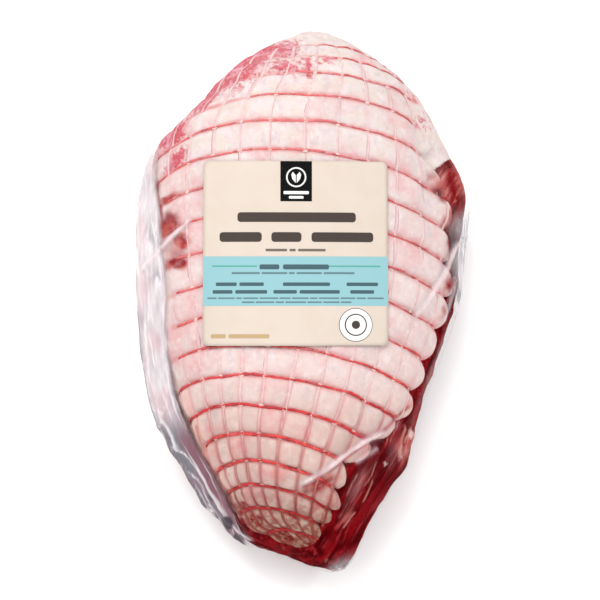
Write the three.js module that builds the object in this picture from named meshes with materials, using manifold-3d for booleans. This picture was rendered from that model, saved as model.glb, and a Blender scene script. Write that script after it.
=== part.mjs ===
// Boneless leg of lamb in an elastic net, sealed in a clear shrink bag, with a square paper label on top.
// Lengths are in millimetres. +Z is up, +Y points to the thick end, and the pack rests on its flat underside.
import * as THREE from "three";
import { mergeVertices } from "three/addons/utils/BufferGeometryUtils.js";
import Module from "manifold-3d";

const wasm = await Module();
wasm.setup();

// Cross sections of the leg, from the narrow end to the thick end.
// along: place on the leg's axis, centre: sideways place, half: half width, top: height of the crown,
// crown: sideways shift of the crown, level: height of the widest level, below: depth under that level.
const SECTIONS = [
  { along: -133, centre: 15, half: 0, top: 30, crown: 0, level: 30, below: 0 },
  { along: -128.5, centre: 12.5, half: 12.5, top: 46, crown: 0, level: 30, below: 20 },
  { along: -116, centre: 3, half: 28, top: 62, crown: -2, level: 34, below: 33 },
  { along: -93, centre: 0.5, half: 40, top: 84, crown: -2.5, level: 38, below: 41 },
  { along: -61, centre: 0, half: 57, top: 91, crown: -1.5, level: 41, below: 46 },
  { along: -25, centre: -1.5, half: 68.5, top: 92, crown: 0, level: 42, below: 48 },
  { along: 14, centre: 0, half: 78, top: 96, crown: -4, level: 43, below: 49 },
  { along: 49, centre: -0.5, half: 79, top: 101, crown: -5, level: 44, below: 50 },
  { along: 80, centre: -2.5, half: 74, top: 103.5, crown: -3.5, level: 44, below: 49 },
  { along: 105, centre: -1, half: 56, top: 97, crown: -1, level: 44, below: 45 },
  { along: 125, centre: 0, half: 38, top: 81, crown: -2, level: 44, below: 34 },
  { along: 137, centre: -2, half: 14, top: 65, crown: 0, level: 44, below: 17 },
  { along: 141.5, centre: -2, half: 0, top: 44, crown: 0, level: 44, below: 0 },
];
const LAST = SECTIONS.length - 1;

const DEGREE = Math.PI / 180;
const SECTION_POWER = 2.2; // 2 is an ellipse, more is squarer
const AXIS_TILT = 3 * DEGREE; // the thick end leans to the right
const ROLL = 8 * DEGREE; // the left shoulder lies higher than the right one
const REST_SOFTNESS = 3; // height of the soft bend around the flat underside

// The net: hoops around the leg and strands along it.
const FIRST_HOOP = 28.5; // distance of hoop 0 from the narrow pole, along the crown
const HOOP_PITCH = 14.75;
const HOOP_UNEVENNESS = 6; // the hoops stand wider apart over the thick middle
const HOOP_PERIOD = 19;
const LOWEST_HOOP = -2;
const HIGHEST_HOOP = 21;
const BOW_NARROW = 5.5; // how far a hoop's sides lag towards the narrow end
const BOW_THICK = 10.5;
const LEAN_NARROW = 10; // how far a hoop's right side lags, and its left side leads
const LEAN_MIDDLE = -1;
const LEAN_THICK = -8;
const STRANDS = 28;
const STRAND_STEP = (2 * Math.PI) / STRANDS;
const CROWN_STRAND = 6.3; // strand number on the crown line
const STRAND_PHASE = 6.5 * DEGREE;
const STRAND_TWIST = 13 * DEGREE; // the strands turn back by this much at the narrow end
const FIRST_COLUMN = -2; // strands from here to LAST_FINE_COLUMN are on the shown side
const LAST_FINE_COLUMN = 15;

// Depth under the tops of the fat pillows, over one hoop spacing: cord, its edges, the pillow.
const HOOP_PROFILE = [
  { at: 0, depth: 1.1 },
  { at: 0.1, depth: 2.0 },
  { at: 0.34, depth: 0.2 },
  { at: 0.66, depth: 0.2 },
  { at: 0.9, depth: 2.0 },
];
const STRAND_DEPTH = 0.9;
const BULGE = { angle: 32 * DEGREE, spread: 16 * DEGREE, from: 130, to: 250, more: 0.9 }; // fuller pillows

// Lumps on the body: place along the axis, angle round it, reach both ways and height.
const LUMPS = [
  { along: 66, angle: 2, length: 20, spread: 22, height: 5 }, // lean muscle that stands out at the right
  { along: 72, angle: 32, length: 30, spread: 7, height: -2.5 }, // hollow between it and the fat
  { along: 104, angle: 22, length: 14, spread: 26, height: 3 }, // right shoulder
  { along: -70, angle: 52, length: 40, spread: 6, height: -1.5 }, // seam between shank muscle and fat
  { along: 112, angle: 140, length: 18, spread: 30, height: 5 }, // uncovered muscle at the upper left
  { along: 84, angle: 170, length: 14, spread: 16, height: 3 }, // left shoulder
];

// Loose film along the left and the lower left edge, from the shoulder to the narrow tip.
const FLAP_EDGE = [
  { x: -70, y: 84, z: 51 },
  { x: -77, y: 70, z: 50 },
  { x: -81, y: 56, z: 49 },
  { x: -82, y: 42, z: 48 },
  { x: -83, y: 17, z: 47 },
  { x: -81.5, y: -7, z: 45 },
  { x: -80, y: -27, z: 43 },
  { x: -78.5, y: -42, z: 41 },
  { x: -75, y: -56, z: 39 },
  { x: -67, y: -72, z: 37 },
  { x: -57.5, y: -88, z: 35 },
  { x: -49, y: -102, z: 31 },
  { x: -39, y: -114.5, z: 29 },
  { x: -24.5, y: -121.5, z: 27 },
  { x: -8, y: -128.5, z: 25 },
  { x: 13, y: -135, z: 23 },
  { x: 21, y: -128, z: 25 },
];
const FLAP_HEART = { x: 0, lowest: -95, highest: 60 }; // the flap runs towards this stretch of the axis
const FLAP_REACH = 22;
const FLAP_STEPS = 44;
const FLAP_EDGE_THICKNESS = 1.4;
const FLAP_ROOT_THICKNESS = 7;
const FLAP_WAVE = 1.3;
const FLAP_WAVES = 7.5;

// The label, square and straight-sided as seen from the front at this elevation.
const LABEL_VIEW = 72 * DEGREE;
const LABEL_WIDTH = 89.5;
const LABEL_LENGTH = 90;
const LABEL_CORNER = 2.6;
const LABEL_X = -3.6;
const LABEL_UP = 22.8; // height of its centre in that view, from the middle of the pack
const LABEL_GAP = 0.4;
const LABEL_THICKNESS = 0.5;
const LABEL_RINGS = 6;
const LABEL_EDGE_STEPS = 8; // steps of each straight side between two corners
const MIDDLE_HEIGHT = 44;

const smooth = (from, to, x) => THREE.MathUtils.smoothstep((x - from) / (to - from), 0, 1);
const signedPower = (x, power) => Math.sign(x) * Math.abs(x) ** power;

// A smooth curve through one value of the sections, with a round end at both poles.
// What grows from zero at a pole is mirrored with its sign turned, everything else as it is.
function along(key, t, growsFromPole) {
  const place = THREE.MathUtils.clamp(t, 0, LAST);
  const i = Math.min(Math.floor(place), LAST - 1);
  const f = place - i;
  const sign = growsFromPole ? -1 : 1;
  const b = SECTIONS[i][key];
  const c = SECTIONS[i + 1][key];
  const a = i > 0 ? SECTIONS[i - 1][key] : sign * SECTIONS[1][key];
  const d = i < LAST - 1 ? SECTIONS[i + 2][key] : sign * SECTIONS[LAST - 1][key];
  const slope = (c - a) * f;
  const bend = (2 * a - 5 * b + 4 * c - d) * f ** 2;
  const twist = (3 * b - a - 3 * c + d) * f ** 3;
  return (2 * b + slope + bend + twist) / 2;
}

for (const section of SECTIONS) section.rise = section.top - section.level;

// Point of the plain body at section place t and angle round the leg: 0 is right, 90 degrees is up.
function bodyPoint(t, angle) {
  const half = along("half", t, true);
  const rise = along("rise", t, true);
  const below = along("below", t, true);
  const height = (rise + below) / 2;
  const flatness = (half - height) / Math.max(half + height, 1);
  const turn = angle + (flatness / 2) * Math.sin(2 * angle);
  const cos = Math.cos(turn);
  const sin = Math.sin(turn);
  const side = half * signedPower(cos, 2 / SECTION_POWER);
  const lift = (sin > 0 ? rise : below) * signedPower(sin, 2 / SECTION_POWER);
  const axis = along("along", t, false);
  const fade = smooth(0, 3, t) * smooth(0, 3, LAST - t);
  const bow = THREE.MathUtils.lerp(BOW_THICK, BOW_NARROW, smooth(60, -120, axis));
  const leanEnds =
    (LEAN_NARROW - LEAN_MIDDLE) * smooth(20, -120, axis) + (LEAN_THICK - LEAN_MIDDLE) * smooth(20, 120, axis);
  const lag = bow * cos * cos + (LEAN_MIDDLE + leanEnds) * cos;
  const u = along("centre", t, false) + side + along("crown", t, true) * Math.max(sin, 0) ** 2;
  const v = axis - lag * fade;
  const roll = Math.tan(ROLL) * side * (1 + Math.min(sin, 0));
  const w = along("level", t, false) + lift - roll;
  return new THREE.Vector3(
    u * Math.cos(AXIS_TILT) + v * Math.sin(AXIS_TILT),
    v * Math.cos(AXIS_TILT) - u * Math.sin(AXIS_TILT),
    w,
  );
}

// Outward direction of the plain body.
function bodyNormal(t, angle) {
  const step = 0.05;
  const forward = bodyPoint(Math.min(t + step, LAST), angle).sub(bodyPoint(Math.max(t - step, 0), angle));
  const round = bodyPoint(t, angle + step).sub(bodyPoint(t, angle - step));
  return forward.cross(round).normalize();
}

// Section places at equal distances along the crown line.
const CROWN_STEPS = 1200;
const crownDistance = [0];
for (let i = 1; i <= CROWN_STEPS; i += 1) {
  const here = bodyPoint((i / CROWN_STEPS) * LAST, Math.PI / 2);
  const before = bodyPoint(((i - 1) / CROWN_STEPS) * LAST, Math.PI / 2);
  crownDistance.push(crownDistance[i - 1] + here.distanceTo(before));
}
const CROWN_LENGTH = crownDistance[CROWN_STEPS];

function placeAt(distance) {
  if (distance <= 0) return 0;
  if (distance >= CROWN_LENGTH) return LAST;
  const i = crownDistance.findIndex((d) => d > distance);
  const f = (distance - crownDistance[i - 1]) / (crownDistance[i] - crownDistance[i - 1]);
  return ((i - 1 + f) / CROWN_STEPS) * LAST;
}

const hoopDistance = (hoop) =>
  FIRST_HOOP + HOOP_PITCH * hoop - HOOP_UNEVENNESS * Math.sin((2 * Math.PI * hoop) / HOOP_PERIOD);

function strandAngle(strand, hoop) {
  const turn = STRAND_PHASE - STRAND_TWIST * smooth(9, 0, hoop);
  return Math.PI / 2 - STRAND_STEP * (strand - CROWN_STRAND) - turn;
}

// Angle of the right edge of the netted fat: it runs high over the lean shank.
function fatEdge(distance) {
  const shank = 33 * smooth(125, 75, distance);
  const shoulder = 11 * smooth(215, 245, distance) - 30 * smooth(262, 290, distance);
  return (19 + shank + shoulder) * DEGREE;
}

// How strongly the net shows: not at the poles, not over bare lean and not underneath.
function netStrength(distance, angle) {
  const ends = smooth(8, 24, distance) * smooth(318, 300, distance);
  const right = smooth(-3 * DEGREE, 5 * DEGREE, angle - fatEdge(distance));
  const left = 1 - 0.6 * smooth(165 * DEGREE, 185 * DEGREE, angle);
  const under = smooth(215 * DEGREE, 200 * DEGREE, angle);
  return ends * right * left * under;
}

// The pillows stand out more at their right ends, beside the taut film.
function pillowFullness(distance, angle) {
  const round = (angle - BULGE.angle) / BULGE.spread;
  const middle = smooth(BULGE.from, BULGE.from + 30, distance) * smooth(BULGE.to, BULGE.to - 30, distance);
  return 1 + BULGE.more * middle * Math.exp(-round * round);
}

function lumpHeight(axis, angle) {
  let height = 0;
  for (const lump of LUMPS) {
    const down = (axis - lump.along) / lump.length;
    const round = (angle / DEGREE - lump.angle) / lump.spread;
    height += lump.height * Math.exp(-down * down - round * round);
  }
  return height;
}

// The floor presses the underside flat, with a soft bend around the flat patch.
function pressed(z) {
  if (z > REST_SOFTNESS) return z;
  if (z < -REST_SOFTNESS) return 0;
  return (z + REST_SOFTNESS) ** 2 / (4 * REST_SOFTNESS);
}

function skinPoint(distance, angle, depth) {
  const t = placeAt(distance);
  const point = bodyPoint(t, angle);
  if (t > 0 && t < LAST) {
    const lump = lumpHeight(along("along", t, false), angle);
    const lift = lump - depth * netStrength(distance, angle) * pillowFullness(distance, angle);
    point.addScaledVector(bodyNormal(t, angle), lift);
  }
  point.z = pressed(point.z);
  return point;
}

// Rows of the skin: each has a distance along the crown, a hoop number and a depth.
function skinRows() {
  const rows = [];
  for (let hoop = LOWEST_HOOP; hoop < HIGHEST_HOOP; hoop += 1) {
    for (const { at, depth } of HOOP_PROFILE) {
      const distance = THREE.MathUtils.lerp(hoopDistance(hoop), hoopDistance(hoop + 1), at);
      rows.push({ distance, hoop: hoop + at, depth });
    }
  }
  rows.push({ distance: hoopDistance(HIGHEST_HOOP), hoop: HIGHEST_HOOP, depth: 0 });
  return rows;
}

function skinColumns() {
  const columns = [];
  for (let strand = FIRST_COLUMN; strand < LAST_FINE_COLUMN; strand += 0.5) columns.push(strand);
  for (let strand = LAST_FINE_COLUMN; strand < FIRST_COLUMN + STRANDS; strand += 1) columns.push(strand);
  return columns;
}

// Turns corner points and triangles into a geometry.
function geometryOf(points, triangles) {
  const geometry = new THREE.BufferGeometry();
  geometry.setAttribute("position", new THREE.Float32BufferAttribute(points.flatMap((p) => p.toArray()), 3));
  geometry.setIndex(triangles.flat());
  return geometry;
}

// Two triangles of a four-sided patch whose corners run anticlockwise seen from outside.
const patch = (a, b, c, d) => [
  [a, b, c],
  [a, c, d],
];

function legSkin() {
  const rows = skinRows();
  const columns = skinColumns();
  const count = columns.length;
  const points = [];
  for (const row of rows) {
    for (const strand of columns) {
      const strandDepth = Number.isInteger(strand) ? STRAND_DEPTH : 0;
      points.push(skinPoint(row.distance, strandAngle(strand, row.hoop), row.depth + strandDepth));
    }
  }
  const narrowPole = points.push(skinPoint(0, 0, 0)) - 1;
  const thickPole = points.push(skinPoint(CROWN_LENGTH, 0, 0)) - 1;
  const triangles = [];
  for (let i = 0; i < count; i += 1) {
    const next = (i + 1) % count;
    triangles.push([narrowPole, next, i]);
    for (let row = 0; row < rows.length - 1; row += 1) {
      const here = row * count;
      const above = here + count;
      triangles.push(...patch(here + i, here + next, above + next, above + i));
    }
    const top = (rows.length - 1) * count;
    triangles.push([thickPole, top + i, top + next]);
  }
  return geometryOf(points, triangles);
}

// The loose film: a thin wedge that follows the edge and runs into the leg.
function filmFlap() {
  const edge = new THREE.CatmullRomCurve3(FLAP_EDGE.map(({ x, y, z }) => new THREE.Vector3(x, y, z)));
  const points = [];
  for (let i = 0; i <= FLAP_STEPS; i += 1) {
    const along01 = i / FLAP_STEPS;
    const outer = edge.getPointAt(along01);
    outer.z += FLAP_WAVE * Math.sin(2 * Math.PI * FLAP_WAVES * along01);
    const heartY = THREE.MathUtils.clamp(outer.y, FLAP_HEART.lowest, FLAP_HEART.highest);
    const inwards = new THREE.Vector3(FLAP_HEART.x - outer.x, heartY - outer.y, 0).setLength(FLAP_REACH);
    const inner = outer.clone().add(inwards);
    points.push(outer.clone().setZ(outer.z + FLAP_EDGE_THICKNESS / 2));
    points.push(inner.clone().setZ(inner.z + FLAP_ROOT_THICKNESS / 2));
    points.push(inner.clone().setZ(inner.z - FLAP_ROOT_THICKNESS / 2));
    points.push(outer.clone().setZ(outer.z - FLAP_EDGE_THICKNESS / 2));
  }
  const triangles = [...patch(0, 1, 2, 3)];
  for (let i = 0; i < FLAP_STEPS; i += 1) {
    for (let side = 0; side < 4; side += 1) {
      const a = 4 * i + side;
      const b = 4 * i + ((side + 1) % 4);
      triangles.push(...patch(b, a, a + 4, b + 4));
    }
  }
  const end = 4 * FLAP_STEPS;
  triangles.push(...patch(end + 3, end + 2, end + 1, end));
  return geometryOf(points, triangles);
}

function solid(geometry) {
  const bare = geometry.clone();
  bare.deleteAttribute("normal");
  bare.deleteAttribute("uv");
  const merged = mergeVertices(bare);
  const mesh = new wasm.Mesh({
    numProp: 3,
    vertProperties: new Float32Array(merged.getAttribute("position").array),
    triVerts: new Uint32Array(merged.getIndex().array),
  });
  return new wasm.Manifold(mesh);
}

function geometryFrom(manifold) {
  const mesh = manifold.getMesh();
  const geometry = new THREE.BufferGeometry();
  geometry.setAttribute("position", new THREE.BufferAttribute(new Float32Array(mesh.vertProperties), 3));
  geometry.setIndex(new THREE.BufferAttribute(new Uint32Array(mesh.triVerts), 1));
  return geometry;
}

// Point of the plain body under a place of the front view, found by a few Newton steps.
function bodyUnderView(x, up) {
  let t = 7;
  let angle = Math.PI / 2;
  const miss = (place, turn) => {
    const p = bodyPoint(place, turn);
    const seenUp = p.y * Math.sin(LABEL_VIEW) + (p.z - MIDDLE_HEIGHT) * Math.cos(LABEL_VIEW);
    return [p.x - x, seenUp - up];
  };
  const step = 1e-3;
  for (let round = 0; round < 12; round += 1) {
    const [mx, mu] = miss(t, angle);
    const [tx, tu] = miss(t + step, angle).map((value, i) => (value - [mx, mu][i]) / step);
    const [ax, au] = miss(t, angle + step).map((value, i) => (value - [mx, mu][i]) / step);
    const area = tx * au - ax * tu;
    t -= (mx * au - ax * mu) / area;
    angle -= (tx * mu - mx * tu) / area;
  }
  return { point: bodyPoint(t, angle), normal: bodyNormal(t, angle) };
}

// Outline of the label around its centre, anticlockwise, with round corners.
function labelOutline() {
  const outline = [];
  const reachX = LABEL_WIDTH / 2 - LABEL_CORNER;
  const reachY = LABEL_LENGTH / 2 - LABEL_CORNER;
  const corners = [
    [reachX, reachY],
    [-reachX, reachY],
    [-reachX, -reachY],
    [reachX, -reachY],
  ];
  corners.forEach(([x, y], quarter) => {
    for (let i = 0; i <= 2; i += 1) {
      const turn = (quarter + i / 2) * (Math.PI / 2);
      outline.push([x + LABEL_CORNER * Math.cos(turn), y + LABEL_CORNER * Math.sin(turn)]);
    }
    const [fromX, fromY] = outline[outline.length - 1];
    const [nextX, nextY] = corners[(quarter + 1) % 4];
    const nextTurn = ((quarter + 1) * Math.PI) / 2;
    const toX = nextX + LABEL_CORNER * Math.cos(nextTurn);
    const toY = nextY + LABEL_CORNER * Math.sin(nextTurn);
    for (let i = 1; i < LABEL_EDGE_STEPS; i += 1) {
      const f = i / LABEL_EDGE_STEPS;
      outline.push([THREE.MathUtils.lerp(fromX, toX, f), THREE.MathUtils.lerp(fromY, toY, f)]);
    }
  });
  return outline;
}

// The label: rings of points from its middle to its outline, on an upper and a lower face.
function labelPlate() {
  const outline = labelOutline();
  const count = outline.length;
  const points = [];
  for (const height of [LABEL_GAP + LABEL_THICKNESS, LABEL_GAP]) {
    for (let ring = 0; ring <= LABEL_RINGS; ring += 1) {
      const share = ring / LABEL_RINGS;
      for (const [x, y] of ring === 0 ? [[0, 0]] : outline) {
        const under = bodyUnderView(LABEL_X + x * share, LABEL_UP + y * share);
        points.push(under.point.addScaledVector(under.normal, height));
      }
    }
  }
  const faceSize = 1 + LABEL_RINGS * count;
  const triangles = [];
  for (let i = 0; i < count; i += 1) {
    const next = (i + 1) % count;
    triangles.push([0, 1 + i, 1 + next]);
    triangles.push([faceSize, faceSize + 1 + next, faceSize + 1 + i]);
    for (let ring = 0; ring < LABEL_RINGS - 1; ring += 1) {
      const inner = 1 + ring * count;
      const outer = inner + count;
      triangles.push(...patch(inner + i, outer + i, outer + next, inner + next));
      const low = faceSize;
      triangles.push(...patch(low + inner + next, low + outer + next, low + outer + i, low + inner + i));
    }
    const rim = 1 + (LABEL_RINGS - 1) * count;
    triangles.push(...patch(rim + i, faceSize + rim + i, faceSize + rim + next, rim + next));
  }
  return geometryOf(points, triangles);
}

function named(name, geometry, colour, roughness) {
  const faceted = geometry.toNonIndexed();
  faceted.computeVertexNormals();
  const mesh = new THREE.Mesh(faceted, new THREE.MeshStandardMaterial({ color: colour, roughness }));
  mesh.name = name;
  return mesh;
}

const pack = geometryFrom(solid(legSkin()).add(solid(filmFlap())));
const label = labelPlate();

// The frame's origin is at the bottom, in the middle of the whole pack.
pack.computeBoundingBox();
const middle = pack.boundingBox.getCenter(new THREE.Vector3());
for (const geometry of [pack, label]) geometry.translate(-middle.x, -middle.y, -pack.boundingBox.min.z);

const group = new THREE.Group();
group.add(named("vacuum_pack", pack, 0xe9bdb8, 0.3));
group.add(named("label", label, 0xf6e8d6, 0.6));

export default group;
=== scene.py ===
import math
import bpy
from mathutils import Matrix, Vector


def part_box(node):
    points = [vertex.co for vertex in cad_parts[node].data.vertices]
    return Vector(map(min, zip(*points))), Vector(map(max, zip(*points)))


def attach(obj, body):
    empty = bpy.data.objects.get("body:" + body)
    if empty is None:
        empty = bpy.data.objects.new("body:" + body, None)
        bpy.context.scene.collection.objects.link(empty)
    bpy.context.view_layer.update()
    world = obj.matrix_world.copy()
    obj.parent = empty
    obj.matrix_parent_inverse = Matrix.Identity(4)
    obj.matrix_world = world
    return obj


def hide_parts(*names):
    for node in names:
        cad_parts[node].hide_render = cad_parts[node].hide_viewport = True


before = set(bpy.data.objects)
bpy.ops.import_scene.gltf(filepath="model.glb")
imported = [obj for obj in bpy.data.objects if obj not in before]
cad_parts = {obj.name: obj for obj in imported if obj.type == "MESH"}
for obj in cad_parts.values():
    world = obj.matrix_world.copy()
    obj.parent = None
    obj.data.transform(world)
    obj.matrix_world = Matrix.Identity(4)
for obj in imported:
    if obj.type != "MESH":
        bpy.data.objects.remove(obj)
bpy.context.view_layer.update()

# Boneless leg of lamb in an elastic net, sealed in a clear shrink bag, with a square paper label on top.
# Lengths are in millimetres until a mesh is made, which is in metres. +Z is up, +Y points to the thick end.
from types import SimpleNamespace

import bpy
import numpy as np
from mathutils import Vector

MM = 0.001
DEGREE = math.pi / 180

# Cross sections of the leg, from the narrow end to the thick end: place on the leg's axis, sideways place,
# half width, height of the crown, sideways shift of the crown, height of the widest level, depth under it.
SECTIONS = [
    (-133, 15, 0, 30, 0, 30, 0),
    (-128.5, 12.5, 12.5, 46, 0, 30, 20),
    (-116, 3, 28, 62, -2, 34, 33),
    (-93, 0.5, 40, 84, -2.5, 38, 41),
    (-61, 0, 57, 91, -1.5, 41, 46),
    (-25, -1.5, 68.5, 92, 0, 42, 48),
    (14, 0, 78, 96, -4, 43, 49),
    (49, -0.5, 79, 101, -5, 44, 50),
    (80, -2.5, 74, 103.5, -3.5, 44, 49),
    (105, -1, 56, 97, -1, 44, 45),
    (125, 0, 38, 81, -2, 44, 34),
    (137, -2, 14, 65, 0, 44, 17),
    (141.5, -2, 0, 44, 0, 44, 0),
]
KEYS = ("along", "centre", "half", "top", "crown", "level", "below")
SECTION = {key: np.array(values, float) for key, values in zip(KEYS, zip(*SECTIONS))}
SECTION["rise"] = SECTION["top"] - SECTION["level"]
LAST = len(SECTIONS) - 1
SECTION_POWER = 2.2
AXIS_TILT = 3 * DEGREE
ROLL = 8 * DEGREE
REST_SOFTNESS = 3

# The net: hoops around the leg and strands along it.
FIRST_HOOP = 28.5
HOOP_PITCH = 14.75
HOOP_UNEVENNESS = 6
HOOP_PERIOD = 19
LOWEST_HOOP = 0
HIGHEST_HOOP = 18
BOW_NARROW = 5.5
BOW_THICK = 10.5
LEAN_NARROW = 10
LEAN_MIDDLE = -1
LEAN_THICK = -8
STRANDS = 28
STRAND_STEP = 2 * math.pi / STRANDS
CROWN_STRAND = 6.3
STRAND_PHASE = 6.5 * DEGREE
STRAND_TWIST = 13 * DEGREE

# Lumps on the body: place along the axis, angle round it, reach both ways and height.
LUMPS = [
    (66, 2, 20, 22, 5),
    (72, 32, 30, 7, -2.5),
    (104, 22, 14, 26, 3),
    (-70, 52, 40, 6, -1.5),
    (112, 140, 18, 30, 5),
    (84, 170, 14, 16, 3),
]

# Loose film along the left and the lower left edge, from the shoulder to the narrow tip.
FLAP_EDGE = [
    (-70, 84, 51), (-77, 70, 50), (-81, 56, 49), (-82, 42, 48), (-83, 17, 47), (-81.5, -7, 45),
    (-80, -27, 43), (-78.5, -42, 41), (-75, -56, 39), (-67, -72, 37), (-57.5, -88, 35), (-49, -102, 31),
    (-38.5, -112.5, 29), (-25, -119, 27), (-8, -126.5, 25), (13, -134, 23),
]

# The view of the photo: the camera's elevation, its distance and the width seen at the pack's middle.
VIEW_ELEVATION = 72 * DEGREE
VIEW_DISTANCE = 1569
VIEW_WIDTH = 300
VIEW_X = -1.5
MIDDLE_HEIGHT = 44
SENSOR = 36
NEWTON_STEPS = 12
START_SECTION = 7.0

# The label, square and straight-sided in that view.
LABEL_WIDTH = 89.5
LABEL_LENGTH = 90
LABEL_CORNER = 2.6
CORNER_POINTS = 5
LABEL_STEPS = 24  # steps along a side and rings of the paper
LABEL_X = -3.6
LABEL_UP = 22.8
LABEL_GAP = 0.4
LABEL_PAPER = 0.25


def smooth(low, high, x):
    """Rises softly from 0 at low to 1 at high."""
    f = np.clip((x - low) / (high - low), 0, 1)
    return f * f * (3 - 2 * f)


def hump(start, full, fading, end, x):
    """Rises softly from 0 at start to 1 at full, and falls again from 1 at fading to 0 at end."""
    return smooth(start, full, x) * smooth(end, fading, x)


def bell(x, reach):
    return np.exp(-((x / reach) ** 2))


def step_lengths(line):
    return np.linalg.norm(np.diff(line, axis=0), axis=1)


def run_along(line):
    """Length of a line up to each of its points."""
    return np.concatenate([[0], np.cumsum(step_lengths(line))])


def signed_power(x, power):
    return np.sign(x) * np.abs(x) ** power


SEED_STEP = 31.7  # noises of different seeds lie this far apart
NOISE_START = 500.5
HASH_DIRECTION = np.array([12.9898, 78.233, 37.719])
HASH_SPREAD = 4375.85453


def noise(points, size, seed):
    """Soft noise from -1 to 1 whose lumps are about one size across; size may differ along x, y and z."""
    place = points / np.asarray(size, float) + SEED_STEP * seed + NOISE_START
    cell = np.floor(place)
    f = place - cell
    f = f * f * (3 - 2 * f)
    total = np.zeros(points.shape[:-1])
    for corner in np.ndindex(2, 2, 2):
        weight = np.prod(np.where(np.array(corner) == 1, f, 1 - f), axis=-1)
        key = np.sin((cell + corner) @ HASH_DIRECTION) * HASH_SPREAD
        total += weight * (2 * (key - np.floor(key)) - 1)
    return total


# The plain body
def along(key, t, grows=False):
    """Smooth curve through one value of the sections; what grows from the poles is mirrored through them."""
    sign = -1 if grows else 1
    values = SECTION[key]
    padded = np.concatenate([[sign * values[1]], values, [sign * values[-2]]])
    t = np.clip(t, 0, LAST)
    i = np.minimum(t.astype(int), LAST - 1)
    f = t - i
    a, b, c, d = (padded[i + k] for k in range(4))
    bend = (2 * a - 5 * b + 4 * c - d) * f**2
    twist = (3 * b - a - 3 * c + d) * f**3
    return (2 * b + (c - a) * f + bend + twist) / 2


def body_point(t, angle):
    """Point of the plain body at section place t and angle round the leg: 0 is right, 90 degrees is up."""
    t, angle = np.broadcast_arrays(np.asarray(t, float), np.asarray(angle, float))
    half = along("half", t, True)
    rise = along("rise", t, True)
    below = along("below", t, True)
    height = (rise + below) / 2
    flatness = (half - height) / np.maximum(half + height, 1)
    turn = angle + flatness / 2 * np.sin(2 * angle)
    cos, sin = np.cos(turn), np.sin(turn)
    side = half * signed_power(cos, 2 / SECTION_POWER)
    lift = np.where(sin > 0, rise, below) * signed_power(sin, 2 / SECTION_POWER)
    axis = along("along", t)
    fade = smooth(0, 3, t) * smooth(0, 3, LAST - t)
    bow = BOW_THICK + (BOW_NARROW - BOW_THICK) * smooth(60, -120, axis)
    narrow_lean = (LEAN_NARROW - LEAN_MIDDLE) * smooth(20, -120, axis)
    thick_lean = (LEAN_THICK - LEAN_MIDDLE) * smooth(20, 120, axis)
    lag = bow * cos * cos + (LEAN_MIDDLE + narrow_lean + thick_lean) * cos
    u = along("centre", t) + side + along("crown", t, True) * np.maximum(sin, 0) ** 2
    v = axis - lag * fade
    roll = math.tan(ROLL) * side * (1 + np.minimum(sin, 0))
    w = along("level", t) + lift - roll
    tilt_cos, tilt_sin = math.cos(AXIS_TILT), math.sin(AXIS_TILT)
    return np.stack([u * tilt_cos + v * tilt_sin, v * tilt_cos - u * tilt_sin, w], axis=-1)


def unit(vectors):
    return vectors / np.maximum(np.linalg.norm(vectors, axis=-1, keepdims=True), 1e-9)


def body_frame(t, angle):
    """Point, outward direction, and the steps along the leg and round it for one unit of t and angle."""
    step = 0.05
    t, angle = np.broadcast_arrays(np.asarray(t, float), np.asarray(angle, float))
    after, before = np.minimum(t + step, LAST), np.maximum(t - step, 0)
    forward = (body_point(after, angle) - body_point(before, angle)) / (after - before)[..., None]
    around = (body_point(t, angle + step) - body_point(t, angle - step)) / (2 * step)
    return body_point(t, angle), unit(np.cross(forward, around)), forward, around


CROWN_STEPS = 1200
crown_places = np.linspace(0, LAST, CROWN_STEPS + 1)
crown_distance = run_along(body_point(crown_places, math.pi / 2))
CROWN_LENGTH = crown_distance[-1]


def place_at(distance):
    return np.interp(distance, crown_distance, crown_places)


def hoop_distance(hoop):
    wave = np.sin(2 * math.pi * np.asarray(hoop) / HOOP_PERIOD)
    return FIRST_HOOP + HOOP_PITCH * np.asarray(hoop) - HOOP_UNEVENNESS * wave


# Numbers of hoops in steps of a twentieth, to well past both ends of the leg.
hoop_numbers = np.linspace(-3, 24, 541)


def hoop_at(distance):
    return np.interp(distance, hoop_distance(hoop_numbers), hoop_numbers)


def strand_turn(hoop):
    return STRAND_PHASE - STRAND_TWIST * smooth(9, 0, hoop)


def strand_angle(strand, hoop):
    return math.pi / 2 - STRAND_STEP * (strand - CROWN_STRAND) - strand_turn(hoop)


def strand_at(angle, hoop):
    return CROWN_STRAND + (math.pi / 2 - angle - strand_turn(hoop)) / STRAND_STEP


def fat_edge(distance):
    """Angle of the right edge of the netted fat: it runs high over the lean shank."""
    shank = 33 * smooth(125, 75, distance)
    shoulder = 11 * smooth(215, 245, distance) - 30 * smooth(262, 290, distance)
    side = 6 * hump(130, 150, 180, 205, distance)
    tip = 14 * smooth(60, 34, distance)
    return (19 + shank + shoulder - side + tip) * DEGREE


def edge_lump(view):
    """Height of the long swelling of the fat along the lower left edge."""
    return 3.3 * spot(view, -46, -78, 24, 7, -65)


def view_lump(view):
    """Height of the bulges at the lower right and left, which belong to the meat and the film."""
    return 2.6 * spot(view, 53, -84, 9, 5, 60) + 4.5 * spot(view, -25, -117, 12, 6.5, -32) + edge_lump(view)


def lump_height(g):
    return sum(most * bell(g.axis - place, length) * bell(g.turn - middle, spread)
               for place, middle, length, spread, most in LUMPS)


def pressed(points, floor=0.0):
    """The floor presses the underside flat, with a soft bend around the flat patch."""
    z = points[..., 2]
    bend = (z + REST_SOFTNESS) ** 2 / (4 * REST_SOFTNESS)
    flat = np.where(z > REST_SOFTNESS, z, np.where(z < -REST_SOFTNESS, 0, bend))
    return np.concatenate([points[..., :2], np.maximum(flat, floor)[..., None]], axis=-1)


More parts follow.
